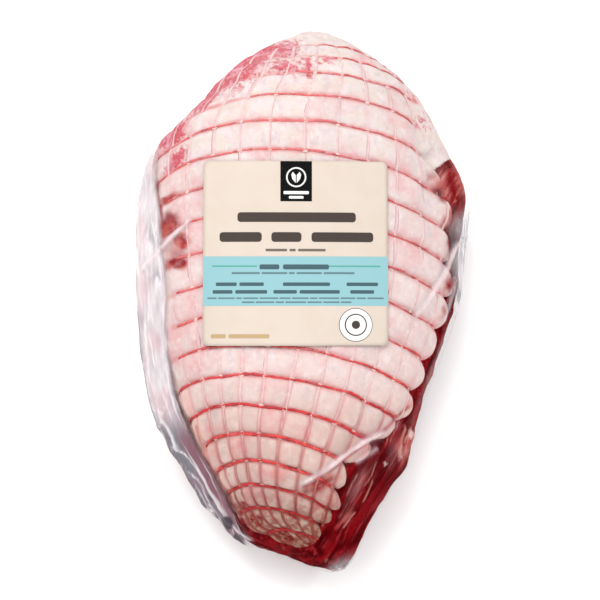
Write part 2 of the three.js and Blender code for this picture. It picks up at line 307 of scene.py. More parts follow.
# The photo's view
def seen(points):
    """Place of points in the photo's view, in millimetres right of and above its middle."""
    view_sin, view_cos = math.sin(VIEW_ELEVATION), math.cos(VIEW_ELEVATION)
    x = points[..., 0] - VIEW_X
    y, z = points[..., 1], points[..., 2] - MIDDLE_HEIGHT
    nearer = VIEW_DISTANCE / (VIEW_DISTANCE + y * view_cos - z * view_sin)
    return np.stack([x * nearer + VIEW_X, (y * view_sin + z * view_cos) * nearer], axis=-1)


def under_view(x, up):
    """Point and outward direction of the plain body under places of the front view, by Newton's method."""
    x, up = np.broadcast_arrays(np.asarray(x, float), np.asarray(up, float))
    t = np.full(x.shape, START_SECTION)
    angle = np.full(x.shape, math.pi / 2)
    step = 1e-3

    def miss(place, turn):
        p = body_point(place, turn)
        height = (p[..., 2] - MIDDLE_HEIGHT) * math.cos(VIEW_ELEVATION)
        return p[..., 0] - x, p[..., 1] * math.sin(VIEW_ELEVATION) + height - up

    for _ in range(NEWTON_STEPS):
        mx, mu = miss(t, angle)
        tx, tu = ((a - b) / step for a, b in zip(miss(t + step, angle), (mx, mu)))
        ax, au = ((a - b) / step for a, b in zip(miss(t, angle + step), (mx, mu)))
        area = tx * au - ax * tu
        t, angle = t - (mx * au - ax * mu) / area, angle - (tx * mu - mx * tu) / area
    point, normal, _, _ = body_frame(t, angle)
    return point, normal


def spot(view, x, up, half_length, half_width, turn=0):
    """A soft oval in the view, 1 in its middle; turn is in degrees."""
    cos, sin = math.cos(turn * DEGREE), math.sin(turn * DEGREE)
    dx, dy = view[..., 0] - x, view[..., 1] - up
    return np.exp(-(((dx * cos + dy * sin) / half_length) ** 2) - ((dy * cos - dx * sin) / half_width) ** 2)


def from_line(view, line):
    """Distance from a line of points in the view, the side (positive at its left) and the share along it."""
    line = np.array(line, float)
    lengths = step_lengths(line)
    best = np.full(view.shape[:-1], 1e9)
    side, share = np.zeros_like(best), np.zeros_like(best)
    for i, length in enumerate(lengths):
        ahead = (line[i + 1] - line[i]) / length
        off = view - line[i]
        f = np.clip(off @ ahead, 0, length)
        gap = off - f[..., None] * ahead
        far = np.linalg.norm(gap, axis=-1)
        nearer = far < best
        best = np.where(nearer, far, best)
        side = np.where(nearer, ahead[0] * off[..., 1] - ahead[1] * off[..., 0], side)
        share = np.where(nearer, (lengths[:i].sum() + f) / lengths.sum(), share)
    return best, side, share


# Meshes
def label_outline(width, length, corner, steps, x=0.0, y=0.0):
    """Rounded rectangle around a place, anticlockwise."""
    reach_x, reach_y = width / 2 - corner, length / 2 - corner
    arcs = []
    for quarter, (right, up) in enumerate([(1, 1), (-1, 1), (-1, -1), (1, -1)]):
        turns = (quarter + np.linspace(0, 1, CORNER_POINTS)) * math.pi / 2
        middle = (right * reach_x, up * reach_y)
        arcs.append(middle + corner * np.stack([np.cos(turns), np.sin(turns)], axis=-1))
    shares = np.arange(1, steps)[:, None] / steps
    parts = []
    for arc, following in zip(arcs, arcs[1:] + arcs[:1]):
        parts += [arc, arc[-1] + (following[0] - arc[-1]) * shares]
    return np.concatenate(parts) + (x, y)


outline = label_outline(LABEL_WIDTH, LABEL_LENGTH, LABEL_CORNER, 8)
label_edge, label_edge_out = under_view(LABEL_X + outline[:, 0], LABEL_UP + outline[:, 1])
label_rim = label_edge + label_edge_out * LABEL_GAP
box_low, box_high = (np.array(corner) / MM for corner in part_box("label"))
# From the leg's own frame, used here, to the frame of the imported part: the labels lie on each other.
SHIFT = np.append(((box_low + box_high - label_rim.min(axis=0) - label_rim.max(axis=0)) / 2)[:2], 0)


def link(name, data):
    """An object of this name in the scene."""
    thing = bpy.data.objects.new(name, data)
    bpy.context.scene.collection.objects.link(thing)
    return thing


def mesh_piece(name, points, faces, **values):
    """A smooth mesh from points and faces, with a named value at each point, riding on its body."""
    mesh = bpy.data.meshes.new(name)
    mesh.from_pydata(((points + SHIFT) * MM).tolist(), [], [list(map(int, face)) for face in faces])
    for key, value in values.items():
        value = np.asarray(value, float)
        if value.ndim == 2:
            layer = mesh.attributes.new(key, "FLOAT_COLOR", "POINT")
            full = np.concatenate([value, np.ones((len(value), 1))], axis=1)
            layer.data.foreach_set("color", full.ravel())
        else:
            mesh.attributes.new(key, "FLOAT", "POINT").data.foreach_set("value", value.ravel())
    mesh.polygons.foreach_set("use_smooth", [True] * len(mesh.polygons))
    mesh.update()
    piece = link(name, mesh)
    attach(piece, "root")
    return piece


def closed_grid(rows, columns):
    """Faces of a tube of rows, each closed round; the first and the last row are poles."""
    def at(row, column):
        if row == 0:
            return 0
        if row == rows - 1:
            return 1 + (rows - 2) * columns
        return 1 + (row - 1) * columns + column % columns

    faces = []
    for row in range(rows - 1):
        for i in range(columns):
            corners = [at(row, i), at(row + 1, i), at(row + 1, i + 1), at(row, i + 1)]
            faces.append(list(dict.fromkeys(corners)))
    return faces


def flatten(grid):
    """Drops the copies of both poles from a grid of rows, whose first and last rows are poles."""
    return np.concatenate([grid[:1, 0], grid[1:-1].reshape((-1,) + grid.shape[2:]), grid[-1:, 0]])


def grid_piece(name, points, values):
    faces = closed_grid(*points.shape[:2])
    return mesh_piece(name, flatten(points), faces, **{key: flatten(value) for key, value in values.items()})


def pole_rows(first, count):
    """Distances of rows along the crown, from pole to pole."""
    return np.concatenate([[0], np.linspace(first, CROWN_LENGTH - first, count), [CROWN_LENGTH]])


def tubes(lines, sides):
    """Points and faces of round bars; a line has centres, sideways and outward directions, half sizes."""
    turns = np.arange(sides) * 2 * math.pi / sides
    all_points, all_faces, start = [], [], 0
    for centres, sideways, outward, wide, high in lines:
        ring = np.cos(turns)[None, :, None] * (sideways * wide[:, None])[:, None]
        ring = ring + np.sin(turns)[None, :, None] * (outward * high[:, None])[:, None]
        all_points.append((centres[:, None] + ring).reshape(-1, 3))
        last = start + (len(centres) - 1) * sides
        for low in range(start, last, sides):
            for k in range(sides):
                a, b = low + k, low + (k + 1) % sides
                all_faces.append((a, b, b + sides, a + sides))
        all_faces.append(range(start + sides - 1, start - 1, -1))
        all_faces.append(range(last, last + sides))
        start = last + sides
    return np.concatenate(all_points), all_faces


# Relief of the fat and the lean
CELL = np.random.default_rng(11).uniform(-1, 1, (4, 32, STRANDS))  # four values for each pillow of the fat
ROWS_BELOW = 4  # rows of pillows before the first hoop
MEAT_GAP = 0.5  # the tops of the fat pillows lie this far under the plain body
STRAND_GROOVE = 1.1
LOBE = 7 * DEGREE  # how far the fat's right edge falls back at each hoop
LOBE_REACH = 7  # length of a lobe's round end
VALLEY = 4.5  # depth of the lean beside the fat
UNDERSIDE = 0.3  # least height of the meat over the floor, so that the film lies under it
POLE_REACH = 6  # relief fades out over this length before each pole
MEAT_ROWS = 366
FIRST_MEAT_ROW = 0.6
GRAIN_TURN = 31 * DEGREE  # between the leg's length and the grain of the lean at its right

# Red meat that shows through the fat: place in the view, half length, half width, turn in degrees, share.
STAINS = [
    (-67, 38, 7.5, 5.2, 66, 1.0),
    (-61.5, 29.5, 4.4, 5.2, 0, 1.0),
    (-64, 18, 6.6, 3.4, 5, 1.0),
    (-63.5, 25, 7.5, 7.5, 0, 0.5),
    (-75, 69, 3.5, 9, -8, 0.35),
    (-59, 36, 4, 3.5, 0, 0.35),
    (-67.5, 51, 6, 2.2, 25, 0.85),
    (-73.5, 56, 2.8, 4.5, 0, 0.7),
    (-64, 69.5, 6.5, 2.6, 46, 0.5),
    (-62, 84, 9, 3, 46, 0.35),
    (-59, 74.5, 2.5, 2.5, 0, 0.35),
    # Painted shade: a reddish patch under the big crease of the film at the lower right
    (8, -93, 11, 4.2, 24, 0.75),
    (-5, -108, 6.5, 1.3, -15, 0.8),
    (14, -106, 4.5, 1.6, -40, 0.6),
    (-31, -103, 3, 2.2, -30, 0.9),
    (-23, -110.5, 5.5, 2.2, -38, 1.0),
    (-5, -114, 2.8, 1.1, -10, 0.8),
    (-8, -119, 7, 2.2, -20, 0.9),
    (4, -122, 5, 2, 0, 0.9),
    (10, -112, 4, 1.6, -30, 0.7),
    (76, 8, 5, 5, 0, 0.75),
    (70, 55, 4.2, 7, 22, 0.85),
    (74.5, 40, 4.0, 7, 14, 0.85),
    (75, 28, 3.2, 5, 0, 0.7),
    (66, 62, 4, 5, 30, 0.5),
    (71, -6, 2.4, 5, 0, 0.5),
    (70, -23, 2.4, 5, 0, 0.4),
]
# Thin red lines where the fat folds over: points in the view, half width and share.
STAIN_LINES = [
    ([(-75.5, 59), (-72.8, 51.5), (-71, 42.5), (-70, 31)], 1.3, 0.6),
    # Under the big crease at the lower right: partly the lean at the fat's edge, partly painted shade
    # beneath the crease
    ([(57, -50), (48, -58.5), (39, -67), (30, -73.5), (22, -79.5), (14, -85.5), (6, -91), (0, -94)],
     1.3, 0.6),
    ([(-54, -60), (-46.6, -77), (-40.4, -90), (-34.6, -101.5), (-30.5, -106.5)], 0.9, 0.95),
]
# Lean mottled with fat, in the same form.
MOTTLED_SPOTS = [
    (-28, 117, 21, 7.2, 38, 1.0),
    (-46, 101, 16, 3.0, 40, 0.9),
    (-12, 124.5, 13, 4.0, 10, 0.8),
    (-9, 117, 9, 3.5, 5, 0.65),
    (3.5, 115, 2.0, 6.5, 5, 0.7),
    (1, 117, 9, 6, 0, 0.45),
    (46, 113, 11, 2.0, -45, 0.5),
    (56, 100, 8, 1.8, -52, 0.45),
    (12, 120, 6, 3.0, 0, 0.6),
    (-65, 81.5, 11, 3.4, 47, 0.95),
    (-63.5, 70.5, 9, 3.2, 48, 0.9),
    (60, 88, 3.5, 8, 32, 0.4),
]
# Brighter red and pink parts of the lean, in the same form, where they are seen once the lean has sunk in.
LIGHT_SPOTS = [
    # The first two reach over the lean's upper edge, in shade below the lobes, and lighten it: painted light
    # there
    (70, 59, 12, 2.4, -80, 0.95),
    (78.6, 62, 13, 2.8, -76, 1.0),
    (52.5, -72, 10, 2.6, 76, 1.0),
    (48, -75, 8, 2.4, 68, 0.4),
    (27.5, -92.5, 8, 2.2, 64, 0.32),
    (22, -107.5, 6, 2.0, 58, 0.3),
    (34, -84, 6, 1.4, 62, 0.2),
    (71, -22, 14, 1.4, 68, 0.3),
]
# The fat ends at this line of the view, at the lower left and round the narrow end.
FAT_RIM = [(-120, 20), (-95, 0), (-84, -20), (-76, -45), (-66, -60), (-56, -78), (-46, -94), (-38, -102.5),
           (-31, -108), (-24, -112.5), (-12.5, -120.5), (-4, -124.5), (4, -123), (11, -116), (17, -108),
           (25, -98), (36, -88)]
# Pale fat on the lean, in the same form.
FAT_SPOTS = [
    (42.5, -82, 1.8, 2.6, -15, 0.58),
    (55.7, -67.6, 1.6, 3.0, -8, 0.9),
    (50, -77, 1.5, 6.5, -14, 0.6),
    (24, -112, 1.3, 2.4, -30, 0.5),
    (76, 8, 5, 5, 0, 0.9),
]
# Pale lines of sinew on the lean: points in the view and half width.
SINEWS = [
    ([(54.2, -56), (50, -65), (44.5, -74.5)], 0.35),
    ([(50, -62), (45, -70), (41.5, -77)], 0.3),
    ([(54.6, -62), (52.4, -68.6), (50.1, -75.7), (47.5, -82)], 0.6),
    ([(36.9, -89), (33.3, -97.6), (30, -103.5)], 0.45),
    ([(30.2, -85.9), (26.2, -93.6), (22, -101)], 0.4),
    ([(40, -80), (36, -88), (31, -95)], 0.35),
    ([(28, -106), (24, -112), (20, -117)], 0.5),
]
# The net's left end: further left it is buried in the fat and the loose film.
NET_LEFT_UP = [-125, -120.5, -111.5, -101.5, -94.5, -82, -68.5, -62, -50, -30, 0, 20, 38, 52, 62, 90]
NET_LEFT_X = [-8, -12, -26, -36, -39.5, -44.5, -51, -58, -63, -66, -68, -68, -70, -73, -78, -95]


def leg_places(distance, angle):
    """Points, directions and net coordinates at distances along the crown and angles round the leg."""
    t = place_at(distance)
    point, normal, forward, around = body_frame(t, angle)
    hoop = hoop_at(distance)
    return SimpleNamespace(
        point=point, normal=normal, forward=forward, around=around, radius=np.linalg.norm(around, axis=-1),
        distance=distance, angle=angle, turn=angle / DEGREE, hoop=hoop, strand=strand_at(angle, hoop),
        axis=along("along", t), view=seen(point))


def leg_grid(distances, angles):
    """Places with a row for each distance along the crown and a column for each angle round the leg."""
    g = leg_places(*np.broadcast_arrays(distances[:, None], angles[None, :]))
    g.normal[0], g.normal[-1] = (0, -1, 0), (0, 1, 0)
    return g


def pole_fade(g):
    """0 at both poles and 1 away from them."""
    return hump(0, POLE_REACH, CROWN_LENGTH - POLE_REACH, CROWN_LENGTH, g.distance)


def net_reach(view):
    """Distance in millimetres right of the net's left end."""
    return view[..., 0] - np.interp(view[..., 1], NET_LEFT_UP, NET_LEFT_X)


def thread_show(view):
    """How clearly the strands show: well at the narrow end, hardly over the fat at the right."""
    x, up = view[..., 0], view[..., 1]
    right = smooth(15, 50, x) * smooth(-60, -25, up)
    left = smooth(-44, -60, x) * smooth(-45, -10, up)
    return (0.42 + 0.58 * smooth(-15, -60, up)) * (1 - 0.6 * np.maximum(right, left))


def net_strength(g):
    """How strongly the net presses in: not at the poles, over bare lean or under the leg."""
    ends = hump(16, 27, 298, 306, g.distance)
    right = smooth(-2 * DEGREE, 5 * DEGREE, g.angle - fat_edge(g.distance))
    left = 1 - 0.45 * smooth(165, 185, g.turn)
    left = left * np.maximum(smooth(-3, 2, net_reach(g.view)), smooth(195, 210, g.turn))
    return ends * right * left


def hoop_depth(g):
    """Depth of a hoop's groove: deeper towards the narrow end and at the pillows' right ends."""
    low = 0.85 + smooth(190, 90, g.distance) + 0.5 * smooth(85, 50, g.distance)
    return low + 2.1 * hump(120, 150, 225, 250, g.distance) * bell(g.turn - 34, 20)


def off_cord(number):
    """From 0 at a cord to 1 in the middle between two cords."""
    return 2 * np.abs(number - np.round(number))


def dome(share, power):
    """From 0 at a cord to 1 in the middle between two cords, steep beside the cord."""
    return 1 - (1 - np.clip(share, 0, 1)) ** power


def cell_row(g):
    return np.clip(np.floor(g.hoop).astype(int) + ROWS_BELOW, 0, CELL.shape[1] - 1)


def cell_value(kind, g):
    return CELL[kind, cell_row(g), np.floor(g.strand).astype(int) % STRANDS]


def grain_turned(points):
    """Points turned so that the lean's grain runs along Y."""
    cos, sin = math.cos(GRAIN_TURN), math.sin(GRAIN_TURN)
    x, y = points[..., 0], points[..., 1]
    return np.stack([x * cos - y * sin, x * sin + y * cos, points[..., 2]], axis=-1)


def fat_cover(g):
    """Distance in millimetres inside the fat's right edge, whose lobes fall back at each hoop."""
    fall = (2 * (g.hoop % 1) - 1) ** 2
    uneven = 2.2 * DEGREE * CELL[3, cell_row(g), 0] * (1 - fall)
    edge = fat_edge(g.distance) + LOBE * (fall - 0.5) - uneven
    return (g.angle - edge) * g.radius


def spots(view, facing, places):
    """The strongest of these spots at each place of the view."""
    share = np.zeros(view.shape[:-1])
    for *oval, most in places:
        share = np.maximum(share, most * spot(view, *oval))
    return share * facing


def shaken(view, point, reach, size, seed):
    """Places of the view moved by noise, for ragged edges."""
    return view + reach * noise(point, size, seed)[..., None]


def facing_view(g):
    """1 where the skin turns towards the photo's view, fading to 0 at its outline."""
    towards = np.array([0, -math.cos(VIEW_ELEVATION), math.sin(VIEW_ELEVATION)])
    return smooth(-0.35, 0.0, g.normal @ towards)


def meat_surface(g):
    """Height over the plain body, and the named values that colour the meat."""
    point, view, facing = g.point, g.view, facing_view(g)
    x, up = view[..., 0], view[..., 1]
    strength, thread = net_strength(g), thread_show(view)
    hoop_share, strand_share = off_cord(g.hoop), off_cord(g.strand)
    pitch = STRAND_STEP * g.radius
    small = smooth(2, 11, pitch)
    hoops, strands = dome(hoop_share, 3.4), dome(strand_share, 4.0)
    groove_h = -hoop_depth(g) * (1 - hoops) * (0.35 + 0.65 * small)
    groove_s = -STRAND_GROOVE * (1 - strands) * small * thread
    cushion = hoops * (1 - (1 - strands) * thread)
    tilt_h = cell_value(1, g) * (g.hoop % 1 - 0.5)
    tilt_s = cell_value(2, g) * (g.strand % 1 - 0.5)
    uneven = 0.5 * cell_value(0, g) + 0.9 * tilt_h + 0.8 * tilt_s
    soft = 0.5 * noise(point, 12, 1) + 0.45 * noise(point, 5.5, 2) + 0.2 * noise(point, 2.6, 3)
    net = (groove_h + groove_s + uneven * cushion) * strength

    inside = fat_cover(g)
    lobe = np.sqrt(dome(inside / LOBE_REACH, 2))
    middle, shallow = hump(95, 150, 235, 262, g.distance), hump(130, 155, 208, 228, g.distance)
    depth = VALLEY * (0.55 + 0.6 * middle) * (1 - 0.55 * shallow)
    valley = -depth * np.where(inside > 0, (1 - lobe) * bell(inside, 12), bell(inside, 16))
    valley = valley * smooth(-45, -20, g.turn) * hump(10, 34, 290, 318, g.distance) * smooth(84, 66, up)

    fat = smooth(-0.6, 0.9, inside + 0.9 * noise(point, 3.5, 5))
    fold = 65 + np.minimum(1.15 * np.abs(x - 67.8), 8)
    shoulder = smooth(-0.8, 0.8, up - fold + 0.8 * noise(point, 8, 4)) * facing
    back = smooth(-2, 2, g.distance - 262 + 7 * noise(point, 16, 36) + 2 * noise(point, 4, 37))
    right_side = g.turn + 9 * noise(point, 15, 38) + 3 * noise(point, 4, 39)
    fat = np.maximum(fat, np.maximum(shoulder, back * smooth(0, 6, right_side)))
    off, side, _ = from_line(view, FAT_RIM)
    rim = np.where(side > 0, off, -off) + noise(point, 4.5, 7)
    fat = np.maximum(fat * smooth(-0.7, 0.7, rim), spots(view, facing, FAT_SPOTS))
    below = smooth(214, 202, g.turn - 6 * noise(point, 14, 6))
    fat = fat * (0.25 + 0.75 * below)
    ragged = 1.3 * noise(point, 4.5, 8) + 0.7 * noise(point, 2.2, 40)
    stain = spots(view + ragged[..., None], facing, STAINS)
    for line, reach, most in STAIN_LINES:
        off, _, share = from_line(shaken(view, point, 0.5, 6, 33), line)
        stain = np.maximum(stain, most * bell(off, reach) * facing * smooth(0, 0.1, share))
    mottled = spots(shaken(view, point, 1.5, 5, 9), facing, MOTTLED_SPOTS)

    lean = 1 - fat
    turned = grain_turned(point)
    muscle = 1.3 * noise(turned, (8, 45, 14), 13) + 0.35 * noise(turned, (2.6, 26, 6), 12)
    ridge = np.zeros_like(inside)
    for line, reach in SINEWS:
        off, _, share = from_line(shaken(view, point, 0.8, 9, 14), line)
        ridge = np.maximum(ridge, bell(off, reach) * hump(0, 0.15, 0.8, 1, share) * facing)
    height = -MEAT_GAP + net + valley + soft * 0.8 + lean * (muscle * 0.8 - 0.5) + 0.4 * ridge * lean
    height = height + lump_height(g) + (view_lump(view) - 3.5 * spot(view, 80, 27, 5, 15)) * facing
    shown = seen(point + g.normal * height[..., None])
    # light: lighter red lean, and painted light along the lean's shaded upper edge at the right
    light = spots(shaken(shown, point, 0.8, 4, 35), facing, LIGHT_SPOTS)

    hoop_off, strand_off = hoop_share * HOOP_PITCH / 2, strand_share * pitch / 2
    # groove and near_cord: darker red in the net's grooves and beside the cords, partly staining by the net
    # and partly painted shade
    groove = np.maximum(bell(hoop_off, 1.5), 0.6 * thread * bell(strand_off, 1.5)) * strength
    near_cord = strength * np.maximum(bell(hoop_off, 2.6), thread * bell(strand_off, 2.2))
    # blush: partly the fat's own pink, partly painted shade beside the cords and at the lobes' ends
    blush = 0.42 + 0.4 * noise(point, 17, 15) + 0.4 * noise(point, 6, 16) + 0.42 * near_cord
    blush = blush + 0.28 * cell_value(0, g) * cushion + 0.25 * bell(inside, 7) * strength
    blush = np.clip(blush + 0.28 * smooth(-30, -62, x) * smooth(-75, -30, up), 0, 1.3)
    return height, dict(
        fat=fat, groove=groove, blush=blush, sinew=ridge, light=light, stain=stain,
        # lower and bottom: the fat darker and redder towards the narrow end, partly its own tone and partly
        # painted shade where the end slopes away from the light
        lower=smooth(-22, -78, up), bottom=smooth(-82, -122, up), middle_part=smooth(80, 25, up),
        mottled=smooth(0.05, 0.9, mottled), cushion=1 - strength * (1 - cushion),
        cell=(0.5 + 0.5 * cell_value(3, g)) * strength,
        # rim_light: painted light, brightening the fat near its lower left edge where it lies in shade
        rim_light=hump(146, 164, 190, 215, g.turn) * hump(-104, -86, -55, -35, up))


def make_meat():
    angles = np.concatenate([np.arange(-12, 206, 1.0), np.arange(206, 348, 3.1)]) * DEGREE
    g = leg_grid(pole_rows(FIRST_MEAT_ROW, MEAT_ROWS), angles)
    height, values = meat_surface(g)
    ends = pole_fade(g)
    height = height * ends - MEAT_GAP * (1 - ends)
    meat = grid_piece("lamb_meat", pressed(g.point + g.normal * height[..., None], UNDERSIDE), values)
    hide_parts("vacuum_pack")
    return meat


# The net's cords
PLY_WIDTH = 0.58  # half width of one ply of a hoop at the narrow end
CORD_HEIGHT = 0.5  # half height of a ply
PLY_GAP = 0.36  # each hoop is two plies, twisted round each other
THICK_END_CORD = 0.68  # thickness of the stretched cord over the thick end, where 1 is the narrow end's
PLY_TURN = 9.0  # length of one twist
PLY_SIDES = 6
HOOP_STEP = 1.5  # length between two points of a hoop
HOOP_DIVE = 3.0  # depth of a hoop's end under the surface
STRAND_STEP_LENGTH = 1.6
STRAND_WIDTH = 1.0  # half width, as the height is half a height
STRAND_HEIGHT = 0.28
STRAND_SIDES = 5
STRAND_DIVE = 4.5  # depth of a hidden strand under the surface
CROWDED = 5.2  # every other strand ends where their spacing falls to this
UPPER_LEFT = 9  # the strands end this much further right than the hoops, above the narrow end
KNOT_LENGTH = 1.15  # half length of the pale loop of a strand over a hoop
KNOT_WIDTH = 1.05
KNOT_HEIGHT = 0.42
KNOT_POINTS = 6
KNOT_SIDES = 8
HOOP_SINK = 9.0  # a hoop's end dives under the fat over this many degrees
HOOP_ENDS = 318  # angle where the hoops end under the leg
BURIED_BELOW = 15  # hoops below this one are buried in the fat at their left
HOOP_RETURNS = 208  # angle where those hoops come out again
# Near the thick end some hoops dive under bare muscle between these two angles.
HOOP_GAPS = {18: (92, 166), 17: (84, 164), 16: (99, 160), 15: (119, 156)}
HOOPS = range(LOWEST_HOOP, HIGHEST_HOOP + 1)
STRAND_NUMBERS = range(-8, -8 + STRANDS)


def cord_places(distance, angle):
    """Places in the net's grooves, with unit steps along the leg and round it and the height of the meat."""
    g = leg_places(distance, angle)
    g.forward, g.around = unit(g.forward), unit(g.around)
    g.height, _ = meat_surface(g)
    return g


def slimness(view):
    """1 at the narrow end, less where the stretched cord is thinner."""
    return 1 - (1 - THICK_END_CORD) * smooth(-75, 10, view[..., 1])


def hoop_arcs(hoop):
    """Angles between which a hoop shows, from the fat's right edge over the top and under the leg."""
    distance = float(hoop_distance(hoop))
    start, end = float(fat_edge(distance)) + 1.5 * DEGREE, HOOP_ENDS * DEGREE
    if hoop < BURIED_BELOW:
        angles = np.linspace(90, 200, 221) * DEGREE
        buried = net_reach(seen(body_point(place_at(distance), angles))) < 0
        left_end = angles[np.argmax(buried)] if buried.any() else angles[-1]
        return [(start, left_end), (HOOP_RETURNS * DEGREE, end)]
    if hoop not in HOOP_GAPS:
        return [(start, end)]
    left, right = HOOP_GAPS[hoop]
    return [(start, left * DEGREE), (right * DEGREE, end)]


def hoop_line(hoop, ply, start, end):
    """One ply of a hoop between two angles; both ends dive under the surface."""
    distance = float(hoop_distance(hoop))
    length = step_lengths(body_point(place_at(distance), np.linspace(start, end, 60))).sum()
    angles = np.linspace(start, end, max(int(length / HOOP_STEP), 12))
    wander = 0.35 * np.sin(angles * 7.3 + hoop * 2.1) + 0.25 * np.sin(angles * 13.7 + hoop)
    g = cord_places(distance + wander, angles)
    run = run_along(g.point)
    turn = 2 * math.pi * run / PLY_TURN + hoop * 1.7 + ply * math.pi
    slim = slimness(g.view)
    aside = PLY_GAP * slim * (0.75 + 0.25 * np.sin(run / 11 + hoop)) * np.cos(turn)
    sink = HOOP_SINK * DEGREE
    dive = smooth(start + sink, start, angles) + smooth(end - sink, end, angles)
    lift = g.height + CORD_HEIGHT * 0.75 * slim - HOOP_DIVE * dive**2 + 0.2 * slim * np.sin(turn)
    centre = g.point + g.normal * lift[:, None] + g.forward * aside[:, None]
    centre = pressed(centre, CORD_HEIGHT + 0.35)
    return centre, -g.forward, g.normal, PLY_WIDTH * slim, CORD_HEIGHT * 0.95 * slim


def make_hoops():
    lines = [hoop_line(hoop, ply, *arc) for hoop in HOOPS for arc in hoop_arcs(hoop) for ply in range(2)]
    points, faces = tubes(lines, PLY_SIDES)
    shades = [np.full(len(line[0]) * PLY_SIDES, (i // 2 * 0.618) % 1) for i, line in enumerate(lines)]
    x, up = seen(points).T
    hoops = mesh_piece("net_hoops", points, faces, shade=np.concatenate(shades), right=smooth(0, 45, x),
                       faded=0.25 + 0.75 * smooth(-55, 5, up), deep=smooth(-84, -104, up))
    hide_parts("vacuum_pack")
    return hoops


def strand_line(strand):
    """A thin strand along the leg, on the floor of its groove; where it is hidden it dives under."""
    first, last = (float(hoop_distance(hoop)) for hoop in (LOWEST_HOOP, HIGHEST_HOOP))
    distances = np.arange(first, last, STRAND_STEP_LENGTH)
    g = cord_places(distances, strand_angle(strand, hoop_at(distances)))
    reach = net_reach(g.view) - UPPER_LEFT * smooth(-48, -36, g.view[:, 1])
    hidden = smooth(0, 7, (fat_edge(distances) - g.angle) * g.radius) * smooth(-85, -62, g.turn)
    hidden = np.maximum(hidden, hump(60, 80, 190, 200, g.turn % 360) * smooth(-3, -6, reach))
    if strand % 2:
        hidden = np.maximum(hidden, smooth(CROWDED + 0.8, CROWDED, STRAND_STEP * g.radius))
    sunk = 0.3 * (1 - thread_show(g.view)) + STRAND_DIVE * hidden
    lift = g.height + STRAND_HEIGHT * 0.5 - sunk
    wander = 0.3 * np.sin(distances / 8.7 + strand) + 0.2 * np.sin(distances / 4.1 + 2 * strand)
    centre = pressed(g.point + g.normal * lift[:, None] + g.around * wander[:, None], STRAND_WIDTH + 0.2)
    wide = STRAND_WIDTH * (1 + 0.2 * np.sin(distances / 5.3 + strand))
    return centre, unit(np.cross(g.normal, g.forward)), g.normal, wide, np.full(len(wide), STRAND_HEIGHT)


def knot(hoop, strand):
    """A pale loop of the strand around a hoop: a short bead across the cord, or None where it is hidden."""
    distance = float(hoop_distance(hoop))
    turn = float(strand_angle(strand, hoop)) % (2 * math.pi)
    margin = 3 * DEGREE
    here = leg_places(np.array([distance]), np.array([turn]))
    radius, view = here.radius[0], here.view[0]
    shown = any(start + margin < turn < end - margin for start, end in hoop_arcs(hoop))
    crowded = strand % 2 and STRAND_STEP * radius < CROWDED + 0.4
    buried = turn < 200 * DEGREE and view[1] > -40 and net_reach(view) < UPPER_LEFT - 3
    if crowded or buried or not shown:
        return None
    size = CELL[2, hoop + ROWS_BELOW, strand % STRANDS]
    places = np.linspace(-1, 1, KNOT_POINTS)
    angles = turn + places * KNOT_LENGTH * (1 + 0.25 * size) / max(radius, 6)
    g = cord_places(np.full(KNOT_POINTS, distance), angles)
    slim = float(slimness(g.view[0]))
    centre = pressed(g.point + g.normal * (g.height + CORD_HEIGHT * 1.1 * slim)[:, None], KNOT_WIDTH + 0.2)
    round_end = np.sqrt(1 - (places * 0.95) ** 4)
    wide = KNOT_WIDTH * (0.7 + 0.3 * slim) * (1 + 0.15 * size)
    return centre, -g.forward, g.normal, wide * round_end, KNOT_HEIGHT * (0.5 + 0.5 * slim) * round_end


def make_strands():
    knots = [knot(hoop, strand) for hoop in HOOPS for strand in STRAND_NUMBERS]
    points, faces = tubes([strand_line(strand) for strand in STRAND_NUMBERS], STRAND_SIDES)
    knot_points, knot_faces = tubes([line for line in knots if line is not None], KNOT_SIDES)
    faces = faces + [[len(points) + i for i in face] for face in knot_faces]
    is_knot = np.concatenate([np.zeros(len(points)), np.ones(len(knot_points))])
    points = np.concatenate([points, knot_points])
    up = seen(points)[:, 1]
    # low: where the strands are coloured darker, partly painted shade of their grooves
    strands = mesh_piece("net_strands", points, faces, knot=is_knot, low=smooth(-40, -88, up),
                         deep=smooth(-88, -104, up))
    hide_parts("vacuum_pack")
    return strands


# The film
FILM_GAP = 0.2  # height of the film over the plain body
FILM_ROWS = 350
FIRST_FILM_ROW = 0.8
FLAP_ANGLE = 177  # the film leaves the leg towards its left edge around this angle
FLAP_TOP = 15  # degrees over which the upper layer peels off
FLAP_UNDER = 22  # degrees over which the lower layer does
FLAP_FADES, FLAP_STOPS = 246, 262  # distances along the crown where the flap runs out
FLAP_POINTS = 400
FLAP_SOFTNESS = 4  # rows on each side over which the pull is evened out
